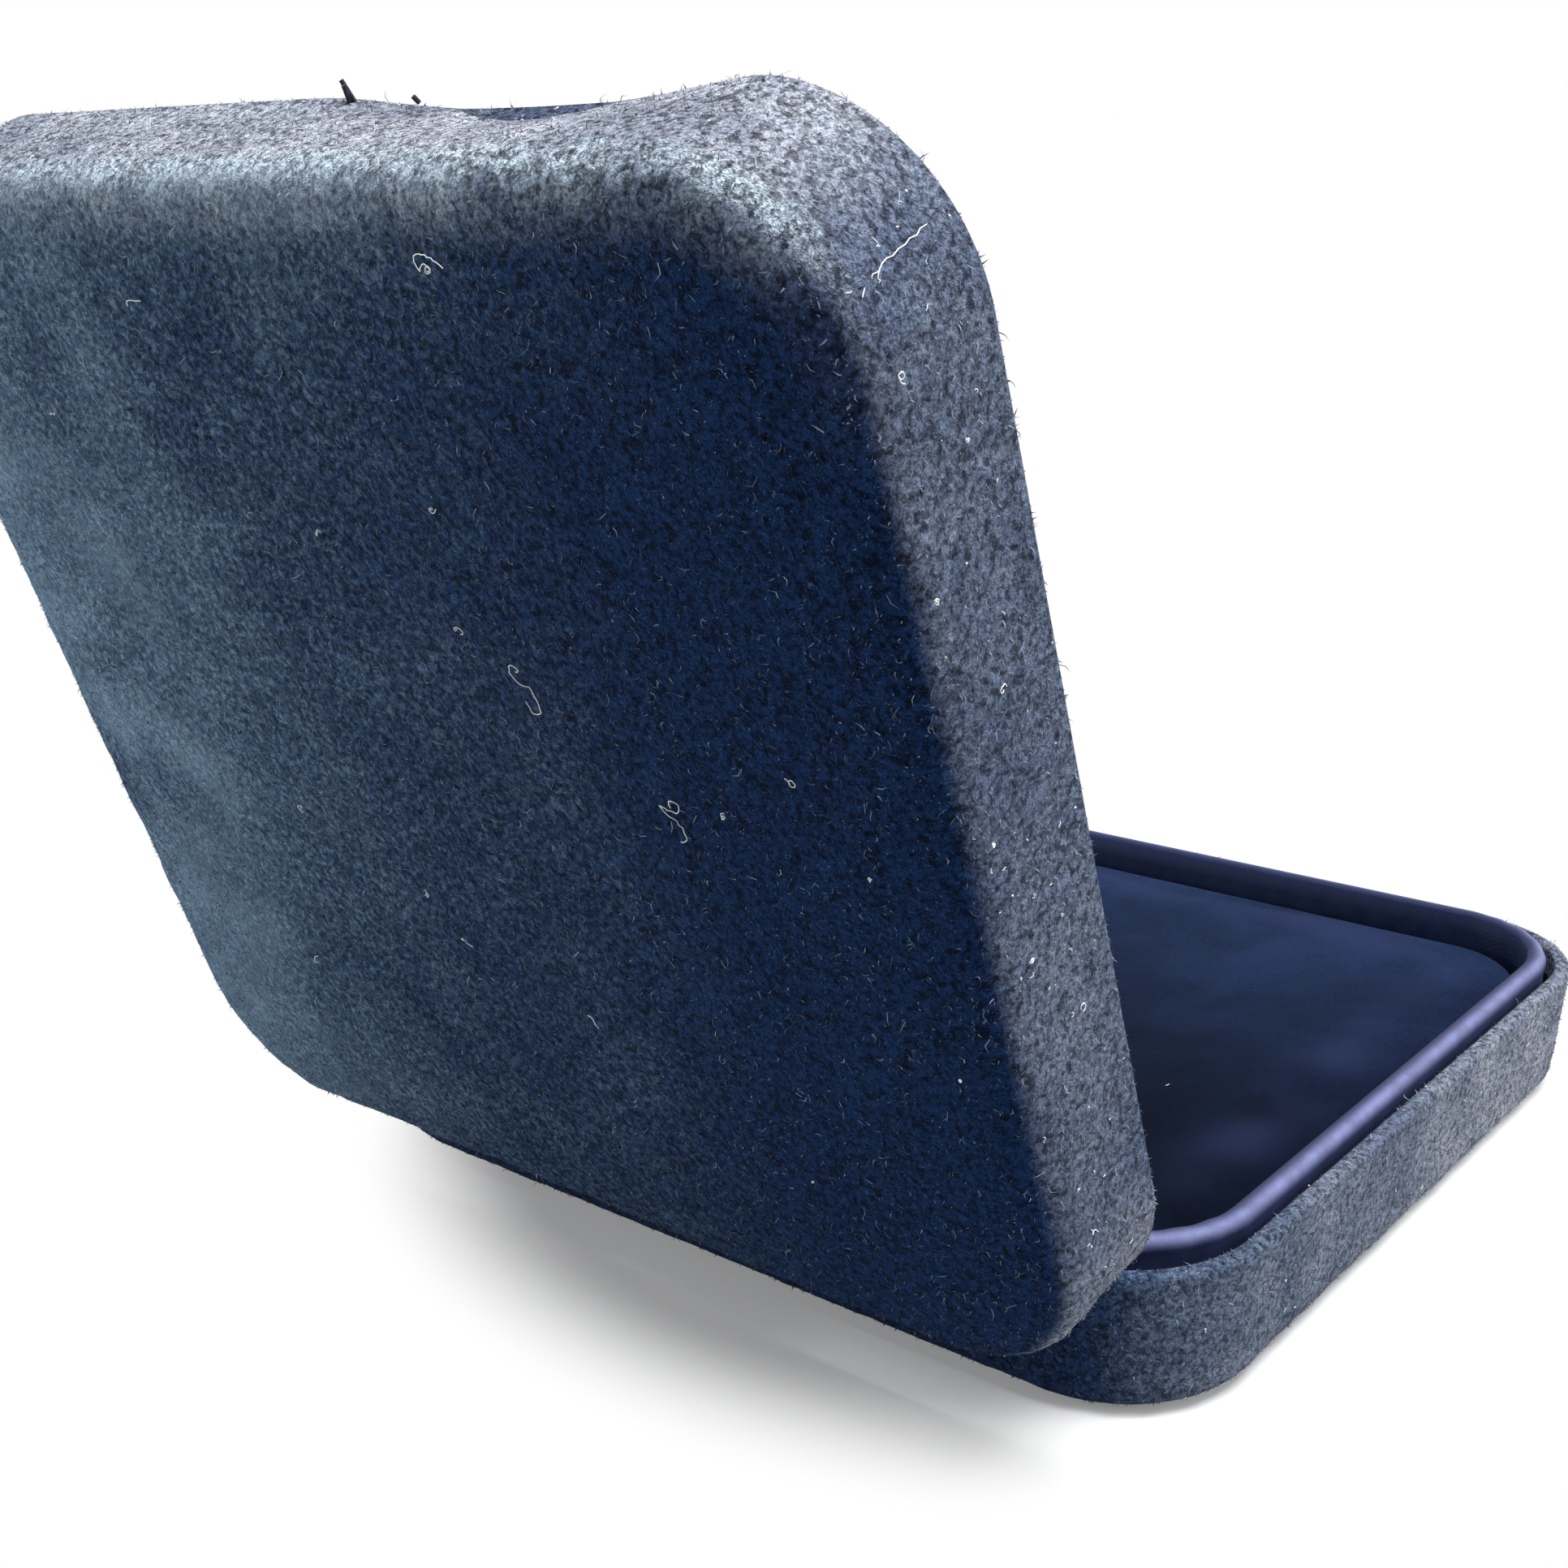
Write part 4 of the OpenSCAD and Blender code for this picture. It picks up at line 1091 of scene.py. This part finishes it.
class CASE_OT_base_wrap(CasePiece, bpy.types.Operator):
    """Suede over the base: rolled rim, leaning walls, turned under to the sole"""

    bl_idname = "case.base_wrap"
    bl_label = "Base suede"

    def execute(self, context):
        size, hinge, nap = settings(context, "sizes", "hinge", "nap")
        body = size.base_height - size.sole_proud
        edge = size.base_edge
        slope = size.base_lean / body
        lean = math.atan(slope)
        start = RIM_ROUND * size.suede
        centre = (slope * (body - edge) + edge / math.cos(lean), body - edge)
        bend = arc(centre, edge, 180 - math.degrees(lean), 90, 7)
        wall = [(0, start)] + straight((start * slope, start), bend[0], 11)
        under = straight(bend[-1], (size.turn_under, body), 5)
        cut = straight(under[-1], (size.turn_under + 0.05 * MM, body - size.suede), 1)
        plan = (size.width, size.depth, size.corner)
        over = wall + bend[1:] + under + cut
        wrap = skin("base_suede", plan, start, over, rim_roll(size, slope), False)
        front, side, _ = facing_parts(wrap)
        height = points(wrap)[:, 2]
        outside = step_mm(height, 1, 3) * step_mm(body - height, 0, 1)
        bumps = ((14, 6, 0.12), (4.5, 7, 0.06), (2.2, 8, 0.07), (1.3, 17, 0.12))
        places = roughen(wrap, nap.seed, outside, 0.08, bumps)
        set_points(wrap, places)
        patch = 0.7 + 0.3 * smooth_step(wander(places, 6 * MM, nap.seed + 9), -0.5, 0.5)
        # Rubbed pale with painted shade: paler towards the front, darker towards the rear under
        # the open lid and near the rim below the lip
        toward_front = step_mm(-places[:, 1], -40, 40)
        wear_and_painted_light = (0.01 + 0.38 * np.maximum(front, side)) * (0.75 + 1.1 * toward_front)
        wear_and_painted_light *= 0.7 + 0.3 * step_mm(places[:, 2], 0.2, 2.2)
        wear_and_painted_light *= 0.35 + 0.65 * step_mm(-places[:, 1], -47, -31)
        set_nap(wrap, wear_and_painted_light * patch, 0.04 + 0.12 * side, 0)
        rim = size.base_height
        hang(wrap, rim)
        fibres = grow_nap(
            "base_nap",
            wrap,
            nap.base_tufts,
            nap,
            np.random.default_rng(nap.seed + 1),
            lambda at: in_hinge(size, hinge, at * (1, 1, -1) + (0, 0, rim)),
        )
        places = points(fibres)
        places[:, 2] = np.maximum(places[:, 2], 0.05 * MM)
        set_points(fibres, places)
        apply_modifier(wrap, "SOLIDIFY", thickness=SUEDE_MESH, offset=-1)
        hang(wrap, rim)
        cut_hinge(wrap, size, hinge, True)
        hang(wrap, rim)
        finish_piece(wrap, "base", "suede", "suede", "base_cover")
        finish_piece(fibres, "base", "fibre", "suede", angle=None)
        return {"FINISHED"}


class CASE_OT_sole(CasePiece, bpy.types.Operator):
    """Suede panel with an eased edge that closes the underside"""

    bl_idname = "case.sole"
    bl_label = "Sole"

    def execute(self, context):
        size, nap = settings(context, "sizes", "nap")
        inset = size.turn_under + size.sole_gap
        plan = (size.width - 2 * inset, size.depth - 2 * inset, size.corner - inset)
        rise = size.sole_proud + size.suede
        sole = pad_skin("sole_suede", plan, 0, rise, 0.3 * MM, 1.4 * MM)
        _, _, top = facing_parts(sole)
        rubbed = smooth_step(wander(points(sole), 9 * MM, nap.seed + 14), -0.4, 0.6)
        set_nap(sole, 0.12 + 0.25 * rubbed + 0.3 * (1 - top), 0.3, 0)
        hang(sole, rise)
        finish_piece(sole, "base", "suede", "suede", "sole_panel")
        return {"FINISHED"}


class CASE_OT_lip_satin(CasePiece, bpy.types.Operator):
    """Satin over the lip of the base and over the lid's lining frame"""

    bl_idname = "case.lip_satin"
    bl_label = "Satin edges"

    def execute(self, context):
        size, lining, nap = settings(context, "sizes", "lining", "nap")
        plan = (
            size.width - 2 * lining.lip_side,
            size.depth - 2 * lining.lip_end,
            lining.lip_corner,
        )
        top = size.base_height + lining.lip_raise
        lip = self.bead("lip_satin", plan, lining, top, nap.seed + 9)
        finish_piece(lip, "base", "satin", "satin", "lip_cover")
        top = lining.pad_back - lining.frame_rise
        edge = self.bead("lid_frame_satin", plan, lining, top, nap.seed + 10)
        hang(edge, lining.pad_back)
        swing_open(edge, size)
        finish_piece(edge, "lid", "satin", "satin", "lid_frame_cover")
        return {"FINISHED"}

    def bead(self, name, plan, lining, top, seed):
        """Satin over a rolled edge with its top at a height, and down both its sides."""
        bead = lining.bead
        inner, skirt = bead + lining.lip_wall, bead - lining.lip_wall
        over = arc((bead, top - bead), bead, 180, 0, 14)
        over = [point for point in over if point[0] <= inner]
        over += straight((inner, over[-1][1]), (inner, top - lining.satin_inside), 3)
        under = arc((bead, top - bead), bead, 180, 216, 3)
        under = [point for point in under if point[0] <= skirt]
        under += straight((skirt, top - 1.75 * bead), (skirt, top - lining.satin_outside), 4)
        piece = skin(name, plan, top - bead, over, under, False, 26, 1.1 * MM)
        self.pleat(piece, plan, seed)
        apply_modifier(piece, "SOLIDIFY", thickness=SATIN_MESH, offset=-1)
        return piece

    def pleat(self, piece, plan, seed):
        """Small pleats where the satin turns a corner, and masks for a painted highlight along
        its outer shoulder and painted shade on its inner face.
        """
        width, depth, corner = plan
        places = points(piece)
        facing = normals(piece)
        sign = np.sign(places)
        gap_x = np.abs(places[:, 0]) - width / 2 + corner
        gap_y = np.abs(places[:, 1]) - depth / 2 + corner
        turn = np.degrees(np.arctan2(np.maximum(gap_y, 0), np.maximum(gap_x, 1e-9)))
        in_corner = smooth_step(turn, 4, 22) * smooth_step(90 - turn, 4, 22) * (gap_x > 0)
        ripple = np.sin(np.radians(turn) * 22) * 0.035 * MM
        ripple += wander(places, 6 * MM, seed) * 0.03 * MM
        outward = facing[:, 0] * np.cos(np.radians(turn)) * sign[:, 0]
        outward += facing[:, 1] * np.sin(np.radians(turn)) * sign[:, 1]
        outward = np.where(gap_x > 0, outward, facing[:, 1] * sign[:, 1])
        tilt = np.degrees(np.arctan2(facing[:, 2], outward))
        # Painted highlight where the normal tilts out and up, painted shade where it faces into
        # the case
        set_attribute(piece, "shoulder_painted_highlight", np.exp(-(((tilt - 52) / 34) ** 2)))
        set_attribute(piece, "inner_painted_shade", smooth_step(tilt, 100, 150))
        places += facing * (ripple * (0.25 + in_corner))[:, None]
        set_points(piece, places)


def pad_plan(size, lining):
    """Width, depth and corner of a pad that fills the lip."""
    inside = 2 * lining.bead + lining.pad_gap
    return (
        size.width - 2 * (lining.lip_side + inside),
        size.depth - 2 * (lining.lip_end + inside),
        lining.lip_corner - inside,
    )


def pad_skin(name, plan, bottom, top, edge, spacing):
    """A closed pad with a rolled upper edge."""
    wall = [(0, bottom)] + straight((0, bottom), (0, top - edge), 3)
    bend = arc((edge, top - edge), edge, 180, 90, 6)[1:]
    flat = straight(bend[-1], (plan[2] * 0.8, top), 3)
    pad = skin(name, plan, bottom, wall + bend + flat, None, True, 14, spacing)
    edit(pad, "EDGE")
    bpy.ops.mesh.select_all(action="DESELECT")
    bpy.ops.mesh.select_non_manifold()
    bpy.ops.mesh.edge_face_add()
    clear_selection()
    return pad


def blow_up(pad, swell, side_swell, pinned_below, voxel):
    """Blows a pad up like cloth over foam, with its foot held and its swell capped."""
    activate(pad)
    pad.data.remesh_voxel_size = voxel
    bpy.ops.object.voxel_remesh()
    start = points(pad)
    held = pad.vertex_groups.new(name="held")
    held.add(np.nonzero(start[:, 2] < pinned_below)[0].tolist(), 1.0, "REPLACE")
    cloth = pad.modifiers.new("Cover", "CLOTH")
    for name, value in PAD_CLOTH.items():
        setattr(cloth.settings, name, value)
    cloth.settings.vertex_group_mass = held.name
    cloth.settings.effector_weights.gravity = 0
    scene = bpy.context.scene
    cloth.point_cache.frame_start = 1
    cloth.point_cache.frame_end = CLOTH_FRAMES
    for step in range(1, CLOTH_FRAMES + 1):
        scene.frame_set(step)
    bpy.ops.object.modifier_apply(modifier=cloth.name)
    scene.frame_set(1)
    moved = points(pad) - start
    reach = np.linalg.norm(moved, axis=1)
    moved *= np.where(reach > swell, swell / np.maximum(reach, 1e-9), 1.0)[:, None]
    moved[:, :2] = np.clip(moved[:, :2], -side_swell, side_swell)
    set_points(pad, start + moved)
    apply_modifier(pad, "SMOOTH", factor=0.5, iterations=3)
    apply_modifier(pad, "SUBSURF", levels=1, render_levels=1)


def clear_foam(pad, plan, top, edge, cover_depth):
    """Pushes a pad's skin out to the cover that lies over its foam."""
    width, depth, corner = plan
    places = points(pad)
    gap = np.abs(places[:, :2]) - np.array((width, depth)) / 2 + corner
    both = np.minimum(gap[:, 0], gap[:, 1]) > 0
    nearest = np.stack([gap[:, 0] >= gap[:, 1], gap[:, 0] < gap[:, 1]], axis=1)
    out = np.where(both[:, None], np.maximum(gap, 0), nearest * gap)
    reach = np.linalg.norm(out, axis=1)
    total = out.sum(axis=1)
    inset = corner - np.where(total > 0, reach, total)
    across, over = edge - inset, places[:, 2] - top + edge
    rounded = (across > 0) & (over > 0)
    bend = np.hypot(across, over)
    least = edge - cover_depth
    stretch = np.where(rounded & (bend < least), least / np.maximum(bend, 1e-9), 1)
    wall = ~rounded & (across > 0) & (inset > cover_depth)
    shift = np.where(wall, inset - cover_depth, 0)
    shift = np.where(rounded, across * (stretch - 1), shift)
    way = np.sign(places[:, :2]) * out / np.maximum(reach, 1e-9)[:, None]
    places[:, :2] += way * shift[:, None]
    places[:, 2] += np.where(rounded, over * (stretch - 1), 0)
    on_top = ~rounded & (over > 0.5 * edge)
    places[:, 2] = np.where(on_top, np.maximum(places[:, 2], top - cover_depth), places[:, 2])
    set_points(pad, places)


class CASE_OT_velvet_bed(CasePiece, bpy.types.Operator):
    """Velvet over the foam bed in the base"""

    bl_idname = "case.velvet_bed"
    bl_label = "Velvet bed"

    def execute(self, context):
        size, lining, nap = settings(context, "sizes", "lining", "nap")
        top = bed_top(size, lining)
        foot = lining.tray_top + 0.05 * MM
        plan = pad_plan(size, lining)
        bed = pad_skin("velvet_bed", plan, foot, top - 0.3 * MM, lining.bed_edge, PAD_CELL)
        blow_up(bed, lining.velvet_swell, 0.12 * MM, lining.tray_top + 2.5 * MM, 1.5 * MM)
        places = points(bed)
        half_x = size.width / 2 - lining.lip_side - 2 * lining.bead
        half_y = size.depth / 2 - lining.lip_end - 2 * lining.bead
        to_edge = np.minimum(half_x - np.abs(places[:, 0]), half_y - np.abs(places[:, 1]))
        # A band about 7 mm in from the bed's edge, where the velvet gets a painted sheen
        band = np.exp(-(((to_edge - 7 * MM) / (3.2 * MM)) ** 2))
        band *= smooth_step(wander(places, 16 * MM, nap.seed + 11), -0.6, 0.5)
        set_attribute(bed, "turned", band * (places[:, 2] > top - 2 * MM))
        rolls = wander(places, 9 * MM, nap.seed + 12) * 0.12 * MM
        places[:, 2] += rolls * (places[:, 2] > top - 1.5 * MM)
        set_points(bed, places)
        clear_foam(bed, plan, top, lining.bed_edge, VELVET_COVER)
        finish_piece(bed, "base", "velvet", "velvet", "bed_velvet", angle=60)
        return {"FINISHED"}


class CASE_OT_lid_pad(CasePiece, bpy.types.Operator):
    """Satin-covered pad that lines the lid"""

    bl_idname = "case.lid_pad"
    bl_label = "Lid pad"

    def execute(self, context):
        size, lining, nap = settings(context, "sizes", "lining", "nap")
        height = lining.pad_back - lining.pad_face
        plan = pad_plan(size, lining)
        foot, face, edge = 0.02 * MM, height - 0.08 * MM, lining.pad_edge
        pad = pad_skin("lid_pad_satin", plan, foot, face, edge, PAD_CELL)
        blow_up(pad, lining.satin_swell, 0.1 * MM, 0.5 * MM, 0.8 * MM)
        places = points(pad)
        rolls = wander(places, 12 * MM, nap.seed + 13) * 0.08 * MM
        places[:, 2] += rolls * (places[:, 2] > 0.8 * height)
        set_points(pad, places)
        clear_foam(pad, plan, height, edge, SATIN_COVER)
        hang(pad, lining.pad_back)
        swing_open(pad, size)
        finish_piece(pad, "lid", "satin", "satin", "lid_pad_cover", angle=60)
        return {"FINISHED"}


class CASE_OT_finish_nodes(CasePiece, bpy.types.Operator):
    """Real finishes for the rigid parts: card, foam, lacquered steel and the hinge"""

    bl_idname = "case.finish_nodes"
    bl_label = "Rigid parts"

    def execute(self, context):
        for finish, names in RIGID_PARTS.items():
            for name in names:
                cover(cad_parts[name], finish)
        return {"FINISHED"}


class CASE_OT_lint(CasePiece, bpy.types.Operator):
    """Curled strands of lint caught in the nap, and a thread end at the front rim"""

    bl_idname = "case.lint"
    bl_label = "Lint"

    def execute(self, context):
        size, lining, nap = settings(context, "sizes", "lining", "nap")
        draw = np.random.default_rng(nap.seed + 20)
        across, along, up = np.eye(3)
        face = size.lid_height + 0.1 * MM
        slope = size.lid_lean / size.lid_height

        def on_wall(y, z, sunk=0.0):
            round_off = max(abs(y) * MM - size.depth / 2 + size.corner, 0)
            reach = size.width / 2 - size.corner + math.sqrt(size.corner**2 - round_off**2)
            return (slope * z * MM - reach + sunk, y * MM, z * MM)

        strands = [
            curl(draw, (x * MM, y * MM, face), across, along, up, reach * MM, 16)
            for x, y, reach in LINT_ON_FACE
            for _ in range(2 if reach > 3 else 1)
        ]
        strands += [
            curl(draw, on_wall(y, z), along, up, -across, reach * MM, 16)
            for y, z, reach in LINT_ON_WALL
        ]
        strands += [[on_wall(y, z, 0.08 * MM) for y, z in branch] for branch in LONG_STRAND]
        lid_lint = strands_to_mesh("lid_lint", strands, nap.lint_radius, 1)
        swing_open(lid_lint, size)
        finish_piece(lid_lint, "lid", "lint", "suede", angle=None)

        bed = bed_top(size, lining)
        strands = [
            curl(draw, (x * MM, y * MM, bed), across, along, up, reach * MM, 10)
            for x, y, reach in LINT_ON_BED
        ]
        bed_lint = strands_to_mesh("bed_lint", strands, nap.lint_radius, 1)
        finish_piece(bed_lint, "base", "lint", "velvet", angle=None)

        front = -size.depth / 2
        ends = [
            [
                (
                    x * MM + turn * at * 0.1 * MM,
                    front + (0.35 - at * reach / 4) * MM,
                    z * MM + at * 0.06 * MM,
                )
                for at in range(5)
            ]
            for x, z, reach, turn in THREAD_ENDS
        ]
        rim_thread = strands_to_mesh("rim_thread", ends, 0.17 * MM, 2)
        swing_open(rim_thread, size)
        finish_piece(rim_thread, "lid", "thread", "suede", angle=None)
        return {"FINISHED"}


class CASE_OT_specks(CasePiece, bpy.types.Operator):
    """Short ends of lint strewn over the suede"""

    bl_idname = "case.specks"
    bl_label = "Specks"

    def execute(self, context):
        nap = context.scene.case_nap
        draw = np.random.default_rng(nap.seed + 21)
        for body, share in (("lid", 0.75), ("base", 0.25)):
            wrap = bpy.data.objects[f"{body}_suede"]
            count = int(nap.specks * share)
            at, up, (wear_and_painted_light,) = scatter(wrap, 4 * count, draw, ["wear_and_painted_light"])
            shown = np.argsort(draw.random(len(at)) - 0.75 * (wear_and_painted_light > 0.12))[:count]
            strands = []
            for place, away in zip(at[shown], up[shown]):
                across = np.cross(away, unit(draw.normal(size=(1, 3)))[0])
                across /= np.linalg.norm(across)
                along = np.cross(away, across)
                reach = draw.uniform(0.25, 0.9) * MM
                strands.append(curl(draw, place, across, along, away, reach, 5))
            specks = strands_to_mesh(f"{body}_specks", strands, 0.85 * nap.lint_radius, 0)
            finish_piece(specks, body, "lint", "suede", angle=None)
        return {"FINISHED"}


# ---- Stage ----


class CASE_OT_stage(CasePiece, bpy.types.Operator):
    """Pale floor, soft light and the camera"""

    bl_idname = "case.stage"
    bl_label = "Stage"

    def execute(self, context):
        clear_selection()
        bpy.ops.mesh.primitive_plane_add(size=3, location=(0, 0, 0))
        floor = bpy.context.object
        floor.name = "floor"
        cover(floor, "paper")
        scene = context.scene
        scene.view_settings.view_transform = "Standard"
        for description in LAMPS:
            self.lamp(*description)
        world = Nodes(bpy.data.worlds.new("studio"))
        scene.world = world.owner
        back = world.tree.nodes["Background"]
        world.put((0.93, 0.96, 1), back.inputs["Color"])
        world.put(0.17, back.inputs["Strength"])
        world.split_rays(back, world.add("Background", {"Color": WHITE}), "World Output")
        self.aim_camera()
        return {"FINISHED"}

    def lamp(self, name, place, target, side, power):
        """A soft square lamp aimed at a point."""
        data = bpy.data.lights.new(name, "AREA")
        data.shape = "RECTANGLE"
        data.size = data.size_y = side
        data.energy = power
        light = link(name, data)
        light.location = place
        aim = Vector(target) - Vector(place)
        light.rotation_euler = aim.to_track_quat("-Z", "Y").to_euler()

    def aim_camera(self):
        """The camera, close behind the open case and to one side."""
        azimuth, elevation, roll = (math.radians(angle) for angle in CAMERA_ANGLES)
        level = math.cos(elevation)
        back = Vector(
            (math.sin(azimuth) * level, -math.cos(azimuth) * level, math.sin(elevation))
        )
        sideways = (-back).cross(Vector((0, 0, 1))).normalized()
        upright = sideways.cross(-back)
        right = sideways * math.cos(roll) + upright * math.sin(roll)
        up = upright * math.cos(roll) - sideways * math.sin(roll)
        data = bpy.data.cameras.new("camera")
        data.sensor_width = 36
        data.lens = 36 * FOCAL_PIXELS / PHOTO_PIXELS
        data.clip_start = 0.005
        camera = link("camera", data)
        turned = Matrix((right, up, back)).transposed().to_4x4()
        camera.matrix_world = Matrix.Translation(CAMERA_PLACE) @ turned
        bpy.context.scene.camera = camera


# ---- Tables ----


# What the cloth over a pad is like, and how many frames it is blown up for
PAD_CLOTH = {
    "quality": 6,
    "mass": 0.2,
    "tension_stiffness": 12,
    "compression_stiffness": 12,
    "bending_stiffness": 0.4,
    "use_pressure": True,
    "uniform_pressure_force": 4,
}
CLOTH_FRAMES = 20

# The finish of each rigid part
RIGID_PARTS = {
    "card": ("tray_board", "lip_frame", "bed_board", "lid_board", "lid_frame"),
    "foam": ("bed_foam", "lid_pad_foam", "lid_wadding"),
    "lacquer": ("base_shell", "lid_shell"),
    "nickel": ("base_hinge_leaf", "lid_hinge_leaf", "hinge_pin", "base_rivets", "lid_rivets"),
    "blued": ("snap_spring",),
}

# Lamps: name, place, target and side in metres, and power in watts
LAMPS = (
    ("overhead", (-0.2, 0.05, 0.62), (0, 0.04, 0.05), 0.4, 6.9),
    ("near_side", (-0.55, -0.12, 0.2), (0, 0.03, 0.04), 0.35, 1.4),
    ("far_side", (0.24, 0.2, 0.06), (0.04, 0.07, 0.05), 0.1, 0.4),
)

# Camera: azimuth, elevation and roll in degrees, place in metres, focal length in pixels
CAMERA_ANGLES = (219.94, 17.332, -1.717)
CAMERA_PLACE = (-0.11723, 0.17196, 0.10044)
FOCAL_PIXELS, PHOTO_PIXELS = 2542.2, 1932

# Places on the closed case in millimetres: x, y and length on the lid's face
LINT_ON_FACE = (
    (-19.1, -40.5, 3.8), (-16.3, -10.8, 4.2), (-25.7, -3.0, 4.6), (-38.3, -7.5, 2.0),
    (-12.9, -24.0, 1.6), (13.4, -37.4, 2.2), (1.1, -20.8, 1.5), (18.0, 7.0, 1.6),
    (-10.9, -14.2, 2.4), (-43.0, -0.8, 2.0), (-11.0, 21.1, 1.8), (1.4, 16.5, 2.0),
    (-31.7, -3.6, 2.2), (5.0, 11.7, 1.8), (-46.5, 14.6, 1.6), (30.0, -28.0, 1.4),
    (25.0, 24.0, 1.6), (-30.0, 30.0, 1.8),
)  # fmt: skip
# y, height above the rim and length on the lid's -X wall
LINT_ON_WALL = (
    (-33.0, 9.0, 2.4), (-28.0, 5.0, 2.0), (-20.0, 10.0, 2.6), (-12.0, 6.0, 1.8),
    (-3.0, 9.5, 2.0), (6.8, 8.6, 2.2), (14.0, 4.5, 1.6), (31.1, 8.0, 2.2),
)  # fmt: skip
# y and height above the rim of the points of a long forked strand on the -X wall
LONG_STRAND = (
    (
        (-38.2, 9.7), (-38.5, 9.3), (-38.6, 8.7), (-38.9, 8.3), (-38.85, 7.8),
        (-39.1, 7.3), (-39.2, 6.8), (-39.15, 6.3), (-39.3, 5.7), (-39.3, 5.1),
        (-39.45, 4.6), (-39.4, 4.0), (-39.6, 3.5), (-39.6, 2.9),
    ),
    ((-38.85, 7.8), (-38.6, 8.1), (-38.45, 8.0), (-38.3, 8.4), (-38.1, 8.6), (-38.0, 9.1)),
)  # fmt: skip
# x, y and length on the velvet
LINT_ON_BED = ((-29.0, 12.0, 1.8), (-25.0, 16.0, 1.0), (-34.0, -12.0, 1.2), (-20.0, -5.0, 0.9))
# x, height above the rim, length and sideways turn at the lid's front rim
THREAD_ENDS = ((-2.7, 0.9, 1.6, 1.0), (-2.4, 1.1, 1.3, -0.6), (-10.0, 1.7, 0.5, 0.3))


# ---- Registration ----


OPERATORS = (
    CASE_OT_lid_wrap,
    CASE_OT_base_wrap,
    CASE_OT_sole,
    CASE_OT_lip_satin,
    CASE_OT_velvet_bed,
    CASE_OT_lid_pad,
    CASE_OT_finish_nodes,
    CASE_OT_lint,
    CASE_OT_specks,
    CASE_OT_stage,
)

PROPERTIES = {
    "case_sizes": CaseSizes,
    "case_hinge": HingeSizes,
    "case_lining": LiningSizes,
    "case_nap": NapSizes,
    "case_colours": CaseColours,
}


class CASE_PT_sidebar(bpy.types.Panel):
    """Lists the steps that dress the case, and what they follow"""

    bl_label = "Instrument case"
    bl_space_type = "VIEW_3D"
    bl_region_type = "UI"
    bl_category = "Case"

    def draw(self, context):
        for operator in OPERATORS:
            self.layout.operator(operator.bl_idname)
        for group, kind in PROPERTIES.items():
            box = self.layout.box()
            for name in kind.__annotations__:
                box.prop(getattr(context.scene, group), name)


def register():
    """Registers the properties, the operators and the panel."""
    for group, kind in PROPERTIES.items():
        bpy.utils.register_class(kind)
        setattr(bpy.types.Scene, group, PointerProperty(type=kind))
    for operator in (*OPERATORS, CASE_PT_sidebar):
        bpy.utils.register_class(operator)


def unregister():
    """Takes back what register did."""
    for operator in (CASE_PT_sidebar, *reversed(OPERATORS)):
        bpy.utils.unregister_class(operator)
    for group, kind in PROPERTIES.items():
        delattr(bpy.types.Scene, group)
        bpy.utils.unregister_class(kind)


def main():
    """Makes every piece in turn."""
    register()
    for operator in OPERATORS:
        group, name = operator.bl_idname.split(".")
        getattr(getattr(bpy.ops, group), name)()


if __name__ == "__main__":
    main()
